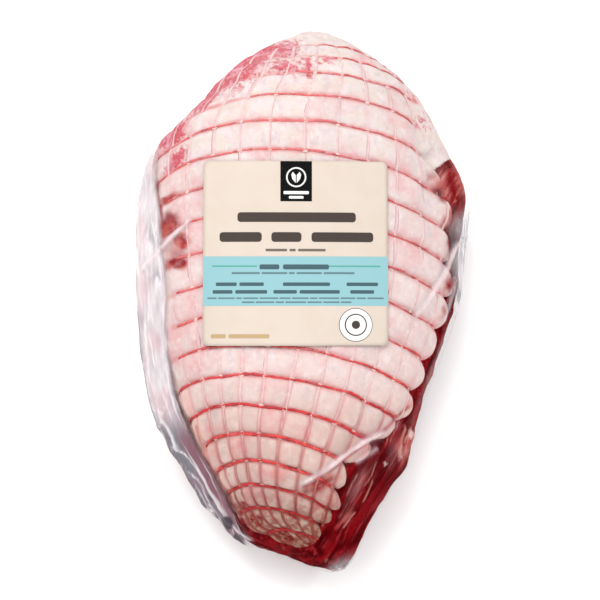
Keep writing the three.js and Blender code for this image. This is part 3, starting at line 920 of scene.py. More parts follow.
# Creases in the taut film: points in the view, height, half width, how white and how wide the haze is. The
# white haze is partly the film's milky fold and partly a painted highlight along the crease.
CREASES = [
    ([(-55.2, 41.6), (-61, 35.5), (-67.4, 29.4), (-75, 20), (-80.5, 13)], 1.4, 0.9, 0.8, 1.1),
    ([(-57, 44), (-63, 34), (-70, 29.5), (-77, 21)], 0.7, 0.7, 0.3, 0.7),
    ([(77.5, 32), (74.5, 23), (72.5, 16.7), (69, 11), (66, 5.5), (58.5, -5.5), (55, -11)],
     1.5, 1.0, 0.9, 1.3),
    ([(70, 5), (66, -3), (60, -11)], 0.8, 0.8, 0.3, 0.8),
    ([(50, -59), (39.4, -65.5), (31.3, -70.6), (24.1, -75.2), (10.3, -85.9)], 1.2, 2.0, 0.3, 2.8),
    ([(27, -72.5), (18, -78.5), (10, -84.5), (3, -89)], 0.8, 0.8, 0.65, 0.9),
    ([(44, -63), (31.3, -70.6), (24.1, -75.2), (16.5, -80.8), (10.3, -85.9), (3.7, -89.5), (-4, -93)],
     1.2, 1.0, 0.85, 1.1),
    ([(42, -62), (31, -69.6), (20, -77)], 0.6, 0.7, 0.5, 0.7),
    ([(38, -73), (32, -77), (26, -81.5)], 0.5, 1.0, 0.5, 1.5),
    ([(-66, -71), (-58, -77), (-48, -92), (-38, -108)], 1.2, 0.8, 0.9, 0.6),
    ([(-59, -84), (-52, -91), (-47, -101), (-43, -111)], 1.1, 0.8, 0.8, 0.6),
    ([(-72, -52), (-66, -66), (-60, -76)], 1.1, 0.8, 0.8, 0.7),
    ([(-68, -51), (-70, -62), (-75, -66)], 0.8, 0.8, 0.6, 0.7),
    ([(-40, -107), (-30, -113.5), (-22, -117)], 0.9, 0.7, 0.7, 0.6),
    ([(77, 12), (74, 0), (70, -12)], 0.8, 0.7, 0.5, 0.8),
]
# Left of this line of the view the film is loose and fogged.
SKIRT = [(-69, 92), (-70.5, 78), (-72, 66), (-72.5, 57.5), (-71.8, 51.5), (-71.3, 42.5), (-70.3, 31),
         (-68.5, 19), (-68, 1.5), (-68, -15), (-66.5, -30.5), (-64, -47), (-57.2, -64), (-51.8, -74),
         (-47.8, -80.5), (-40, -95), (-34.5, -104.5), (-29, -113), (-24.5, -121), (-22, -132)]
SKIRT_LENGTH = step_lengths(np.array(SKIRT)).sum()
# Fogged film away from the skirt: place in the view, half length, half width, turn in degrees, share.
FOG_SPOTS = [
    (79, 19, 3.6, 13, 3, 0.9),
    (79.5, 35, 4.6, 7, 8, 0.85),
    (18, -134, 7, 3, 35, 0.6),
    (45, -74, 2.4, 7, -15, 0.12),
    (27, -93, 2.4, 8, -25, 0.14),
    (71, -20, 1.4, 30, -22, 0.25),
]
# Grey film, dark bubbles and a rosy part of the skirt, in the same form.
GREY_SPOTS = [
    (79.5, 28, 5, 17, 3, 0.95),
    (-75, 33, 2.6, 8, 5, 0.6),
    (-73, 12, 3.4, 4, 10, 0.6),
    (-79, -10, 3, 6, 0, 0.4),
    (20, -135, 8, 4, 30, 0.9),
]
BUBBLES = [
    (-36.5, -110.5, 4.0, 3.0, -35, 1.0),
    (-29.5, -116.5, 3.4, 2.6, -35, 1.0),
    (-46, -99, 1.6, 5, 30, 0.5),
    (-57.5, -91, 1.6, 5, 25, 0.7),
    (-66, -74, 1.8, 6, 30, 0.55),
    (77.5, 4, 1.6, 7, 5, 0.8),
]
ROSY_SPOTS = [(-71, -55, 6, 3.2, -50, 1.0)]


def on_sheet(across, ahead):
    """Places for noise on a flat sheet."""
    return np.stack([across, ahead, 0 * across], axis=-1)


def flap_pull(g):
    """How far each point of the film is pulled out to the loose edge, and the share of that pull."""
    edge = np.array(FLAP_EDGE, float)
    run = run_along(edge)
    fine, numbers = np.linspace(0, run[-1], FLAP_POINTS), np.arange(FLAP_POINTS)
    edge = np.stack([np.interp(fine, run, edge[:, k]) for k in range(3)], axis=-1)
    reach = hump(0, 26, run[-1] - 52, run[-1] - 14, fine)
    distances = g.distance[:, 0]
    root = body_point(place_at(distances), FLAP_ANGLE * DEGREE)
    nearest = np.linalg.norm(root[:, None] - edge[None], axis=-1).argmin(axis=1).astype(float)
    window = np.ones(2 * FLAP_SOFTNESS + 1)
    nearest = np.convolve(np.pad(nearest, FLAP_SOFTNESS, mode="edge"), window / len(window), mode="valid")
    target = np.stack([np.interp(nearest, numbers, edge[:, k]) for k in range(3)], axis=-1)
    share = np.interp(nearest, numbers, reach) * hump(1, 7, FLAP_FADES, FLAP_STOPS, distances)
    turn = g.turn - FLAP_ANGLE
    peel = np.clip(np.where(turn < 0, 1 + turn / FLAP_TOP, 1 - turn / FLAP_UNDER), 0, 1) ** 1.7
    pull = (target - root) * share[:, None]
    return pull[:, None] * peel[..., None], peel * share[:, None]


def film_surface(g):
    """Film points, and the named values that colour the film."""
    point, facing = g.point, facing_view(g)
    pull, loose = flap_pull(g)
    swelling = edge_lump(g.view) * (1 - loose) * facing
    view = seen(point + pull + g.normal * swelling[..., None])
    x, up = view[..., 0], view[..., 1]
    hoops, strands = dome(off_cord(g.hoop), 2.2), dome(off_cord(g.strand), 3)
    sag = 0.32 * hoop_depth(g) * (1 - hoops) + 0.2 * (1 - strands)
    off_label = np.maximum(np.abs(x - LABEL_X) - LABEL_WIDTH / 2, np.abs(up - LABEL_UP) - LABEL_LENGTH / 2)
    inside = fat_cover(g)
    wrinkle = 0.28 * noise(point, 7, 21) + 0.14 * noise(point, 3, 22)
    wrinkle = wrinkle + 0.5 * np.abs(noise(point, (16, 5, 9), 23)) * smooth(4, -12, inside)
    height = FILM_GAP + lump_height(g) - sag * net_strength(g) + wrinkle * smooth(0, 3, off_label)
    height = height + (view_lump(g.view) - edge_lump(g.view) * loose) * facing

    off, side, share = from_line(view, SKIRT)
    into, run = np.where(side < 0, off, -off), share * SKIRT_LENGTH
    skirt = smooth(-0.8, 1.8, into + 0.7 * noise(point, 6, 24)) * smooth(97, 74, up)
    skirt = skirt * hump(90, 110, 205, 228, g.turn)
    pleat = on_sheet(into, run)
    folds = noise(pleat, (2.4, 22, 1), 25) + 0.6 * noise(pleat, (4.5, 9, 1), 26)
    folds = np.maximum(0.8 * folds + 0.4 * np.abs(noise(point, 11, 27)), -0.45)
    height = height + np.maximum(skirt, loose) * folds * (0.3 + 0.7 * smooth(72, 45, up))
    crease = np.zeros_like(height)
    bend = 0.8 * noise(point, 22, 28)[..., None]
    broken = 0.85 + 0.3 * noise(on_sheet(x, up), 5, 34)
    for line, rise, wide, white, reach in CREASES:
        off, _, share = from_line(view + bend, line)
        ends = hump(0, 0.12, 0.88, 1, share) * facing
        height = height + rise * np.exp(-off / wide) * ends
        crease = np.maximum(crease, white * broken * bell(off, reach) * ends)
    ends = pole_fade(g)
    height = height * ends + FILM_GAP * (1 - ends)
    raised = smooth(156, 170, g.turn) * smooth(FLAP_STOPS, FLAP_FADES, g.distance) * smooth(-50, -20, up)
    height = height + 0.6 * raised * ends
    points = pressed(point + g.normal * height[..., None] + pull)

    fog = 0.95 * skirt * smooth(-1.5, 1.5, into) * (0.5 + 0.5 * smooth(76, 44, up))
    # Painted sheen: a faint whitish veil over the film, stronger towards the thick end
    painted_sheen = 0.07 * smooth(-20, 70, up) * np.clip(0.5 + noise(point, 10, 29), 0, 1) * smooth(-1, 4, inside)
    dark = spots(view + 0.5 * bend, facing, BUBBLES)
    fog = np.maximum.reduce([fog, painted_sheen, crease, 0.9 * dark, spots(view, facing, FOG_SPOTS)])
    shank = smooth(5, 20, x) * hump(-125, -115, -60, -50, up)
    rosy = skirt * smooth(-0.2, 0.6, noise(pleat, (4, 14, 1), 32))
    return points, dict(
        fog=np.minimum(fog, 0.97), crease=np.minimum(crease, 1), dark=dark, into=into, run=run, shank=shank,
        grey=np.maximum(spots(view, facing, GREY_SPOTS), 0.7 * smooth(0.86, 0.98, loose)),
        rosy=np.maximum.reduce([rosy, shank, spots(view, facing, ROSY_SPOTS)]),
        low=smooth(-48, -70, up) * smooth(-2, 0, into), border=smooth(8.5, 3.5, into) * smooth(-54, -74, up))


def make_film():
    angles = np.concatenate([np.arange(-14, 150, 1.15), np.arange(150, 204, 0.9), np.arange(204, 346, 3.0)])
    g = leg_grid(pole_rows(FIRST_FILM_ROW, FILM_ROWS), angles * DEGREE)
    film = grid_piece("film", *film_surface(g))
    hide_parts("vacuum_pack")
    return film


# The label and its print
def plate(outline, centre, rings, low, high):
    """A thin closed plate over the film, made of rings between a centre and an outline in the view."""
    shares = np.linspace(0, 1, rings + 1)[1:]
    places = np.concatenate([[centre]] + [centre + (outline - centre) * share for share in shares])
    under, normal = under_view(places[:, 0], places[:, 1])
    points = np.concatenate([under + normal * high, under + normal * low])
    faces = []
    count, size = len(outline), len(places)
    rim = size - count
    for i in range(count):
        after = (i + 1) % count
        faces += [(0, 1 + i, 1 + after), (size, size + 1 + after, size + 1 + i)]
        for inner in range(1, rim, count):
            corners = (inner + i, inner + count + i, inner + count + after, inner + after)
            faces += [corners, [size + corner for corner in reversed(corners)]]
        faces.append((rim + i, size + rim + i, size + rim + after, rim + after))
    return points, faces


def make_label():
    middle = np.array([LABEL_X, LABEL_UP])
    edge = label_outline(LABEL_WIDTH, LABEL_LENGTH, LABEL_CORNER, LABEL_STEPS) + middle
    points, faces = plate(edge, middle, LABEL_STEPS, LABEL_GAP, LABEL_GAP + LABEL_PAPER)
    label = mesh_piece("paper_label", points, faces)
    under_side = len(points) // 2
    for polygon in label.data.polygons:
        polygon.use_smooth = not min(polygon.vertices) < under_side <= max(polygon.vertices)
    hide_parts("label")
    return label


INK = (0.05, 0.039, 0.034)
GREY_INK = (0.124, 0.104, 0.087)
BLACK = (0.003, 0.003, 0.003)
WHITE = (0.62, 0.62, 0.6)
BLUE = (0.213, 0.387, 0.415)
BLUE_INK = (0.05, 0.09, 0.105)
FINE_INK = (0.1, 0.17, 0.185)
GREEN = (0.07, 0.286, 0.223)
GOLD = (0.38, 0.27, 0.146)
PRINT_LIFT = 0.05  # each layer of print lies this much higher than the one under it
WORD_LAYER = 2
PRINT_SINK = 0.02  # the print reaches this far into the paper
PRINT_RING = 2.2  # widest ring of a printed shape
DISC_SIDES = 48
BAR_STEP = 2.5  # length of a step along a bar's longer side
BAR_ROUNDING = 0.32  # corner of a word's bar as a share of its height
WIDEST_CORNER = 1 / 2.05  # as a share of a bar's shorter side


def bar(left, right, bottom, top, corner):
    """Outline of a bar with round corners, from its edges in the view."""
    width, length = right - left, top - bottom
    corner = min(corner, width * WIDEST_CORNER, length * WIDEST_CORNER)
    steps = max(2, int(max(width, length) / BAR_STEP))
    return label_outline(width, length, corner, steps, (left + right) / 2, (bottom + top) / 2)


def disc(x, y, radius):
    turns = np.arange(DISC_SIDES) * 2 * math.pi / DISC_SIDES
    return np.stack([x + radius * np.cos(turns), y + radius * np.sin(turns)], axis=-1)


def words(left, right, bottom, top, lengths, colour, gap):
    """A line of plain bars in place of words, of these relative lengths, between two edges."""
    unit_length = (right - left - gap * (len(lengths) - 1)) / sum(lengths)
    corner = (top - bottom) * BAR_ROUNDING
    shapes, x = [], left
    for length in lengths:
        shapes.append((bar(x, x + length * unit_length, bottom, top, corner), colour, WORD_LAYER))
        x += length * unit_length + gap
    return shapes


def label_print():
    """Every printed shape: outline, colour and layer."""
    left, right = LABEL_X - LABEL_WIDTH / 2, LABEL_X + LABEL_WIDTH / 2
    shapes = [(bar(left + 0.05, right - 0.05, -3, 21.05, 0.05), BLUE, 1)]
    shapes.append((bar(-11.1, 4.2, 47.9, 67.6, 0.2), BLACK, 1))
    leaf_x, leaf_y = -3.45, 59.7
    for radius, colour, layer in ((4.9, WHITE, 2), (4.15, BLACK, 3)):
        shapes.append((disc(leaf_x, leaf_y, radius), colour, layer))
    leaf = np.array([(0.25, -2.9), (1.9, -0.9), (2.4, 1.2), (1.7, 2.6), (0.25, 1.0)])
    for half in (leaf[::-1] * (-1, 1), leaf):
        shapes.append((half + (leaf_x, leaf_y), WHITE, 4))
    shapes += words(-9.6, 2.7, 51.4, 52.9, [1], WHITE, 1)
    shapes += words(-7, 0.1, 49.2, 50.5, [1], WHITE, 1)
    shapes += words(-31.8, 25.5, 37.8, 42.5, [1], INK, 2)
    for a, b in ((-40.4, -20.1), (-15.4, -0.9), (4, 34)):
        shapes += words(a, b, 28.1, 32.8, [1], INK, 2)
    shapes += words(-18.2, 10.8, 23.5, 24.7, [7, 2, 9], GREY_INK, 1.2)
    for a, b in ((-44, -22.3), (12.3, 37.5)):
        shapes.append((bar(a, b, 15.95, 16.6, 0.2), GREEN, 2))
    shapes += words(-21.1, 12.4, 14.7, 17.1, [3, 7], BLUE_INK, 1.8)
    shapes += words(-34.5, 24.8, 12.4, 13.4, [10, 9, 2, 9, 11], FINE_INK, 0.9)
    columns = (
        ((-42.1, -19), [6, 7], (-43.6, -17.4), [5, 8]),
        ((-9.8, 12.9), [13], (-14.4, 17.6), [7, 12]),
        ((20.9, 36.2), [8], (22.7, 34.3), [6]),
    )
    for upper, upper_words, lower, lower_words in columns:
        shapes += words(*upper, 6.65, 8.35, upper_words, BLUE_INK, 1.3)
        shapes += words(*lower, 2.95, 4.65, lower_words, BLUE_INK, 1.3)
    shapes += words(-46.1, 39, 0.35, 1.1, [5, 9, 3, 8, 10, 6, 9, 4, 11, 8, 5, 9], FINE_INK, 0.7)
    shapes += words(-29.5, 23.2, -1.6, -0.85, [6, 9, 4, 10, 7, 8, 5], FINE_INK, 0.7)
    rings = ((8.15, INK), (7.85, WHITE), (5.4, INK), (4.8, WHITE), (2, INK))
    for layer, (radius, colour) in enumerate(rings, 1):
        shapes.append((disc(25.3, -12.2, radius), colour, layer))
    shapes += words(-44.3, -16.3, -18.6, -16.7, [4, 11], GOLD, 1.4)
    return shapes


def make_print():
    all_points, all_faces, colours, start = [], [], [], 0
    base = LABEL_GAP + LABEL_PAPER
    for outline, colour, layer in label_print():
        centre = outline.mean(axis=0)
        rings = math.ceil(np.linalg.norm(outline - centre, axis=1).max() / PRINT_RING)
        points, faces = plate(outline, centre, rings, base - PRINT_SINK, base + PRINT_LIFT * layer)
        all_points.append(points)
        all_faces += [[start + i for i in face] for face in faces]
        colours.append(np.tile(colour, (len(points), 1)))
        start += len(points)
    marks = mesh_piece("label_print", np.concatenate(all_points), all_faces, ink=np.concatenate(colours))
    marks.data.polygons.foreach_set("use_smooth", [False] * len(marks.data.polygons))
    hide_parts("label")
    return marks


# Materials
class Nodes:
    """Short ways to make and link shader nodes of one material."""

    def __init__(self, name):
        self.material = bpy.data.materials.new(name)
        self.material.use_nodes = True
        self.tree = self.material.node_tree
        self.tree.nodes.clear()
        self.place = self.new("ShaderNodeTexCoord").outputs["Object"]

    def new(self, kind, **settings):
        node = self.tree.nodes.new(kind)
        for key, value in settings.items():
            setattr(node, key, value)
        return node

    def put(self, socket, value):
        if isinstance(value, bpy.types.NodeSocket):
            self.tree.links.new(value, socket)
        elif isinstance(value, tuple) and len(value) == 3 and socket.type == "RGBA":
            socket.default_value = value + (1,)
        else:
            socket.default_value = value

    def values(self, names):
        """The named values of the mesh's points."""
        return [self.attribute(name)["Fac"] for name in names.split()]

    def attribute(self, name):
        return self.new("ShaderNodeAttribute", attribute_name=name).outputs

    def texture(self, place, scale, detail, rough=0.5):
        node = self.new("ShaderNodeTexNoise")
        for key, value in (("Vector", place), ("Scale", scale), ("Detail", detail), ("Roughness", rough)):
            self.put(node.inputs[key], value)
        return node.outputs["Fac"]

    def noise(self, size, detail=2.0, rough=0.5, stretch=None, turn=0.0):
        """Noise whose lumps are size millimetres across, turned about Z and stretched along the axes."""
        source = self.place
        if turn:
            turned = self.new("ShaderNodeVectorRotate", rotation_type="Z_AXIS")
            self.put(turned.inputs["Vector"], source)
            turned.inputs["Angle"].default_value = turn
            source = turned.outputs[0]
        if stretch:
            mapping = self.new("ShaderNodeMapping")
            self.put(mapping.inputs["Vector"], source)
            mapping.inputs["Scale"].default_value = tuple(1 / s for s in stretch)
            source = mapping.outputs[0]
        return self.texture(source, 1 / (size * MM), detail, rough)

    def grain(self, size, rough, stretch):
        """Noise stretched along the grain of the lean."""
        return self.noise(size, 3, rough, stretch, GRAIN_TURN)

    def pleats(self, into, run, width, length, seed=0.0):
        """Noise stretched along the skirt's line: width across it and length along it, in millimetres."""
        place = self.new("ShaderNodeCombineXYZ")
        self.put(place.inputs["X"], self.math("DIVIDE", into, width))
        self.put(place.inputs["Y"], self.math("DIVIDE", run, length))
        self.put(place.inputs["Z"], seed)
        return self.texture(place.outputs[0], 1.0, 0.6)

    def ramp(self, value, low, high, to_low=0.0, to_high=1.0):
        node = self.new("ShaderNodeMapRange", interpolation_type="SMOOTHSTEP")
        for key, entry in (("Value", value), ("From Min", low), ("From Max", high),
                           ("To Min", to_low), ("To Max", to_high)):
            self.put(node.inputs[key], entry)
        return node.outputs["Result"]

    def math(self, operation, a, b):
        node = self.new("ShaderNodeMath", operation=operation)
        self.put(node.inputs[0], a)
        self.put(node.inputs[1], b)
        return node.outputs[0]

    def times(self, a, b):
        return self.math("MULTIPLY", a, b)

    def mix(self, share, a, b):
        node = self.new("ShaderNodeMix", data_type="RGBA")
        for socket, entry in ((0, share), (6, a), (7, b)):
            self.put(node.inputs[socket], entry)
        return node.outputs[2]

    def patch(self, under, over, source, low, high, most=1.0):
        """One colour over another: its share rises from 0 to most as source goes from low to high."""
        return self.mix(self.ramp(source, low, high, 0.0, most), under, over)

    def bump(self, height, strength, distance):
        node = self.new("ShaderNodeBump")
        node.inputs["Strength"].default_value = strength
        node.inputs["Distance"].default_value = distance * MM
        self.put(node.inputs["Height"], height)
        return node.outputs[0]

    def principled(self, **inputs):
        node = self.new("ShaderNodeBsdfPrincipled")
        for key, value in inputs.items():
            self.put(node.inputs[key.replace("_", " ")], value)
        return node.outputs[0]

    def blend(self, share, a, b):
        node = self.new("ShaderNodeMixShader")
        for socket, entry in enumerate((share, a, b)):
            self.put(node.inputs[socket], entry)
        return node.outputs[0]

    def finish(self, shader):
        output = self.new("ShaderNodeOutputMaterial")
        self.put(output.inputs["Surface"], shader)
        return self.material

    def surface(self, colour, rough, gloss, **inputs):
        """The finished material; rough has a noise and the roughness where that noise is low and high."""
        inputs["Roughness"] = self.ramp(rough[0], 0.3, 0.7, *rough[1:])
        return self.finish(self.principled(Base_Color=colour, Specular_IOR_Level=gloss, **inputs))


FAT_PALE = (0.55, 0.475, 0.465)
FAT_CREAM = (0.54, 0.46, 0.415)
FAT_MIDDLE = (0.54, 0.415, 0.395)
MIDDLE_PALE = (0.56, 0.455, 0.44)
FAT_BLUSH = (0.54, 0.315, 0.315)
FAT_GREY = (0.47, 0.395, 0.41)
FAT_PAINTED_HIGHLIGHT = (0.63, 0.57, 0.56)
# Fat towards the narrow end: partly its own darker, redder tone, partly painted shade where the end slopes
# away from the light
FAT_LOWER = (0.47, 0.32, 0.28)
LOWER_PALE = (0.52, 0.39, 0.35)
LOWER_GREY = (0.4, 0.28, 0.25)
LOWER_BLUSH = (0.48, 0.2, 0.19)
FAT_BOTTOM = (0.26, 0.16, 0.115)
BOTTOM_PALE = (0.35, 0.255, 0.195)
BOTTOM_BLUSH = (0.17, 0.028, 0.02)
# Colours in the net's grooves: partly staining by the net, partly painted shade
GROOVE = (0.5, 0.21, 0.205)
GROOVE_LOWER = (0.34, 0.075, 0.07)
GROOVE_BOTTOM = (0.16, 0.022, 0.018)
LEAN_DARK = (0.055, 0.0008, 0.0015)
LEAN_RED = (0.15, 0.002, 0.004)
LEAN_BRIGHT = (0.3, 0.02, 0.028)
LEAN_LIGHT = (0.36, 0.07, 0.07)
LEAN_PINK = (0.48, 0.22, 0.19)
SINEW = (0.42, 0.17, 0.14)
MOTTLED_RED = (0.43, 0.07, 0.09)
MOTTLED_DARK = (0.2, 0.02, 0.05)
MOTTLED_PALE = (0.57, 0.35, 0.41)
STAIN = (0.2, 0.018, 0.024)
STAIN_ORANGE = (0.36, 0.062, 0.05)
STAIN_DARK = (0.13, 0.006, 0.006)
# Painted light: a pale pink for the fat near its lower left edge, where it lies in shade
PAINTED_RIM_LIGHT = (0.74, 0.47, 0.41)


def meat_material():
    n = Nodes("fat_and_lean")
    fat, groove, blush, lower, bottom, sinew = n.values("fat groove blush lower bottom sinew")
    mottled, stain, middle_part, cushion = n.values("mottled stain middle_part cushion")
    light, cell, rim_light = n.values("light cell rim_light")
    fine = n.noise(1.5, 3)
    pink = n.times(n.ramp(blush, 0.3, 1.15), n.ramp(n.noise(4.5, 3), 0.35, 0.65, 0.5, 1.05))
    cream = n.ramp(n.noise(8, 3), 0.42, 0.6)
    blotch = n.noise(4.2, 4, 0.6, (1, 1.5, 1))
    cover = n.mix(cream, FAT_PALE, FAT_CREAM)
    cover = n.mix(middle_part, cover, n.mix(cream, MIDDLE_PALE, FAT_MIDDLE))
    cover = n.patch(cover, FAT_GREY, blotch, 0.52, 0.66, 0.7)
    cover = n.mix(pink, cover, FAT_BLUSH)
    # Painted highlights: small bright patches scattered over the fat
    cover = n.patch(cover, FAT_PAINTED_HIGHLIGHT, n.noise(3.2, 2, 0.5, (1, 1.4, 1)), 0.5, 0.74, 0.45)

    low_cover = n.patch(FAT_LOWER, LOWER_PALE, n.noise(5, 4, 0.6), 0.42, 0.62)
    low_cover = n.patch(low_cover, LOWER_GREY, blotch, 0.5, 0.68, 0.6)
    low_cover = n.patch(low_cover, LOWER_GREY, cell, 0.45, 0.95, 0.6)
    low_cover = n.mix(pink, low_cover, LOWER_BLUSH)
    # Painted shade: darker red where the pillows dip into the grooves
    low_cover = n.patch(low_cover, GROOVE_LOWER, cushion, 0.75, 0.15, 0.6)
    bottom_cover = n.patch(FAT_BOTTOM, BOTTOM_PALE, n.noise(3.4, 3), 0.42, 0.62)
    bottom_cover = n.mix(n.ramp(n.noise(3.6, 3), 0.42, 0.6, 0.1, 0.9), bottom_cover, BOTTOM_BLUSH)
    # Painted shade: darker red where the pillows dip into the grooves
    bottom_cover = n.patch(bottom_cover, GROOVE_BOTTOM, cushion, 0.85, 0.2, 0.9)
    # Towards the narrow end: partly the fat's own tone, partly painted shade
    cover = n.mix(n.times(lower, 0.9), cover, low_cover)
    cover = n.mix(bottom, cover, bottom_cover)
    cover = n.patch(cover, LOWER_BLUSH, fine, 0.55, 0.75, 0.25)

    # The net's grooves darker red: partly staining by the net, partly painted shade
    trench = n.mix(bottom, n.mix(lower, GROOVE, GROOVE_LOWER), GROOVE_BOTTOM)
    groove_stain_and_shade = n.times(n.ramp(groove, 0.1, 1.0), n.ramp(n.noise(5, 3), 0.4, 0.62, 0.45, 0.95))
    cover = n.mix(groove_stain_and_shade, cover, trench)
    soft_stain = n.times(n.ramp(stain, 0.12, 0.7), n.ramp(n.noise(4.5, 3), 0.3, 0.6, 0.8, 1.0))
    patchy = n.ramp(n.noise(1.9, 3, 0.6), 0.42, 0.58, 0.25, 1.0)
    soft_stain = n.times(soft_stain, n.mix(bottom, (1.0, 1.0, 1.0), patchy))
    stain_red = n.patch(STAIN, STAIN_ORANGE, n.noise(6, 2), 0.42, 0.6)
    cover = n.mix(soft_stain, cover, n.mix(bottom, stain_red, STAIN_DARK))
    # Painted light over the fat near its lower left edge, where it lies in shade
    cover = n.mix(n.times(rim_light, 0.4), cover, PAINTED_RIM_LIGHT)

    grain = n.grain(1.5, 0.55, (1, 14, 3))
    lean = n.patch(LEAN_DARK, LEAN_RED, n.grain(4.2, 0.5, (1, 8, 2)), 0.42, 0.6)
    lean = n.patch(lean, LEAN_BRIGHT, grain, 0.5, 0.72, 0.75)
    lean = n.patch(lean, SINEW, n.grain(2.2, 0.5, (1, 16, 3)), 0.64, 0.73, 0.5)
    # Lighter red lean, also painted light along the lean's shaded upper edge at the right
    pink_lean = n.patch(LEAN_LIGHT, LEAN_PINK, grain, 0.42, 0.66)
    pink_share = n.times(light, n.ramp(n.grain(2.8, 0.6, (1, 6, 2)), 0.36, 0.56, 0.4, 1.0))
    lean = n.mix(n.math("MAXIMUM", pink_share, n.ramp(light, 0.6, 0.95, 0.0, 0.85)), lean, pink_lean)
    lean = n.patch(lean, SINEW, sinew, 0.2, 1.0, 0.7)
    ragged = n.math("ADD", fat, n.ramp(n.noise(1.8, 3), 0.3, 0.7, -0.15, 0.15))
    colour = n.patch(lean, cover, ragged, 0.35, 0.7)

    muscle = n.patch(MOTTLED_RED, MOTTLED_PALE, n.noise(5, 3), 0.46, 0.7, 0.6)
    muscle = n.patch(muscle, MOTTLED_DARK, n.noise(2.2, 3, 0.7), 0.56, 0.66, 0.7)
    muscle = n.patch(muscle, MOTTLED_PALE, n.noise(1.7, 3, 0.75), 0.56, 0.66, 0.8)
    edge = n.math("ADD", mottled, n.ramp(n.noise(2.6, 4, 0.7), 0.3, 0.7, -0.4, 0.4))
    red_share = n.times(n.ramp(edge, 0.05, 0.75, 0.0, 0.95), n.ramp(mottled, 0.0, 0.15))
    colour = n.mix(red_share, colour, muscle)
    bump = n.bump(n.math("ADD", n.noise(1.1, 3), n.times(grain, 1.3)), 0.35, 0.5)
    return n.surface(colour, (fine, 0.4, 0.55), 0.0, Normal=bump)


CORD_RED = (0.47, 0.016, 0.02)
CORD_BRIGHT = (0.58, 0.04, 0.035)
CORD_DARK = (0.27, 0.006, 0.012)
CORD_DEEP = (0.26, 0.006, 0.01)
CORD_FUZZ = (0.66, 0.3, 0.25)
WASHED_LEFT = (0.6, 0.14, 0.14)
WASHED_RIGHT = (0.46, 0.095, 0.105)
WASHED_DARK = (0.4, 0.07, 0.075)
WASHED_PALE = (0.6, 0.32, 0.31)


def hoop_material():
    n = Nodes("red_elastic_cord")
    shade, faded, right, deep = n.values("shade faded right deep")
    fibres = n.noise(0.9, 3)
    red = n.patch(CORD_RED, CORD_BRIGHT, shade, 0.2, 0.9)
    red = n.patch(red, CORD_DARK, n.noise(5, 2), 0.42, 0.62)
    washed = n.mix(right, WASHED_LEFT, WASHED_RIGHT)
    washed = n.patch(washed, WASHED_DARK, n.noise(4, 3), 0.48, 0.64)
    washed = n.patch(washed, WASHED_PALE, n.noise(6, 3, 0.6), 0.52, 0.64, 0.6)
    red = n.mix(n.times(faded, 0.9), red, washed)
    red = n.mix(n.times(deep, 0.6), red, CORD_DEEP)
    red = n.patch(red, CORD_FUZZ, fibres, 0.6, 0.74, 0.4)
    return n.surface(red, (fibres, 0.45, 0.65), 0.05, Normal=n.bump(fibres, 0.5, 0.3))


KNOT_PALE = (0.6, 0.42, 0.4)
KNOT_PINK = (0.6, 0.34, 0.31)
KNOT_LOW = (0.47, 0.27, 0.23)
KNOT_DEEP = (0.3, 0.07, 0.06)
THREAD_PINK = (0.55, 0.37, 0.365)
THREAD_PALE = (0.57, 0.44, 0.43)
# Lower strands: darker pink, partly the translucent thread over red meat, partly painted shade of their
# grooves
THREAD_LOW = (0.36, 0.16, 0.145)
THREAD_DEEP = (0.2, 0.05, 0.04)


def strand_material():
    n = Nodes("pale_net_thread")
    is_knot, low, deep = n.values("knot low deep")
    fibres = n.noise(0.7, 3)
    pale = n.patch(KNOT_PALE, KNOT_PINK, n.noise(5, 2), 0.4, 0.65)
    pale = n.mix(deep, n.mix(low, pale, KNOT_LOW), KNOT_DEEP)
    thread = n.patch(THREAD_PINK, THREAD_PALE, n.noise(4, 2), 0.4, 0.7)
    # Darker pink lower down: partly the thread over red meat, partly painted groove shade
    thread = n.mix(deep, n.mix(low, thread, THREAD_LOW), THREAD_DEEP)
    colour = n.mix(is_knot, thread, pale)
    return n.surface(colour, (fibres, 0.5, 0.7), 0.05, Normal=n.bump(fibres, 0.5, 0.25))


FOG_WHITE = (0.58, 0.52, 0.535)
FOG_ROSY = (0.54, 0.38, 0.41)
# Painted shade in the skirt's folds
FOLD_PAINTED_SHADE = (0.36, 0.28, 0.33)
FOG_MAGENTA = (0.46, 0.22, 0.26)
FLAP_GREY = (0.17, 0.16, 0.185)
FLAP_ROSY = (0.2, 0.09, 0.115)
FLAP_VIOLET = (0.21, 0.145, 0.18)
# Painted highlight on the flap's folds
FLAP_PAINTED_HIGHLIGHT = (0.6, 0.57, 0.58)
BUBBLE = (0.06, 0.04, 0.052)
# Painted highlight on the crests of folds and ripples
FOLD_PAINTED_HIGHLIGHT = (0.68, 0.63, 0.64)
# Partly the film's milky fold, partly a painted highlight along a crease
CREASE_HAZE_AND_GLINT_PINK = (0.72, 0.59, 0.6)
FILM_GLOSS = 0.05  # share of the clear film's reflection


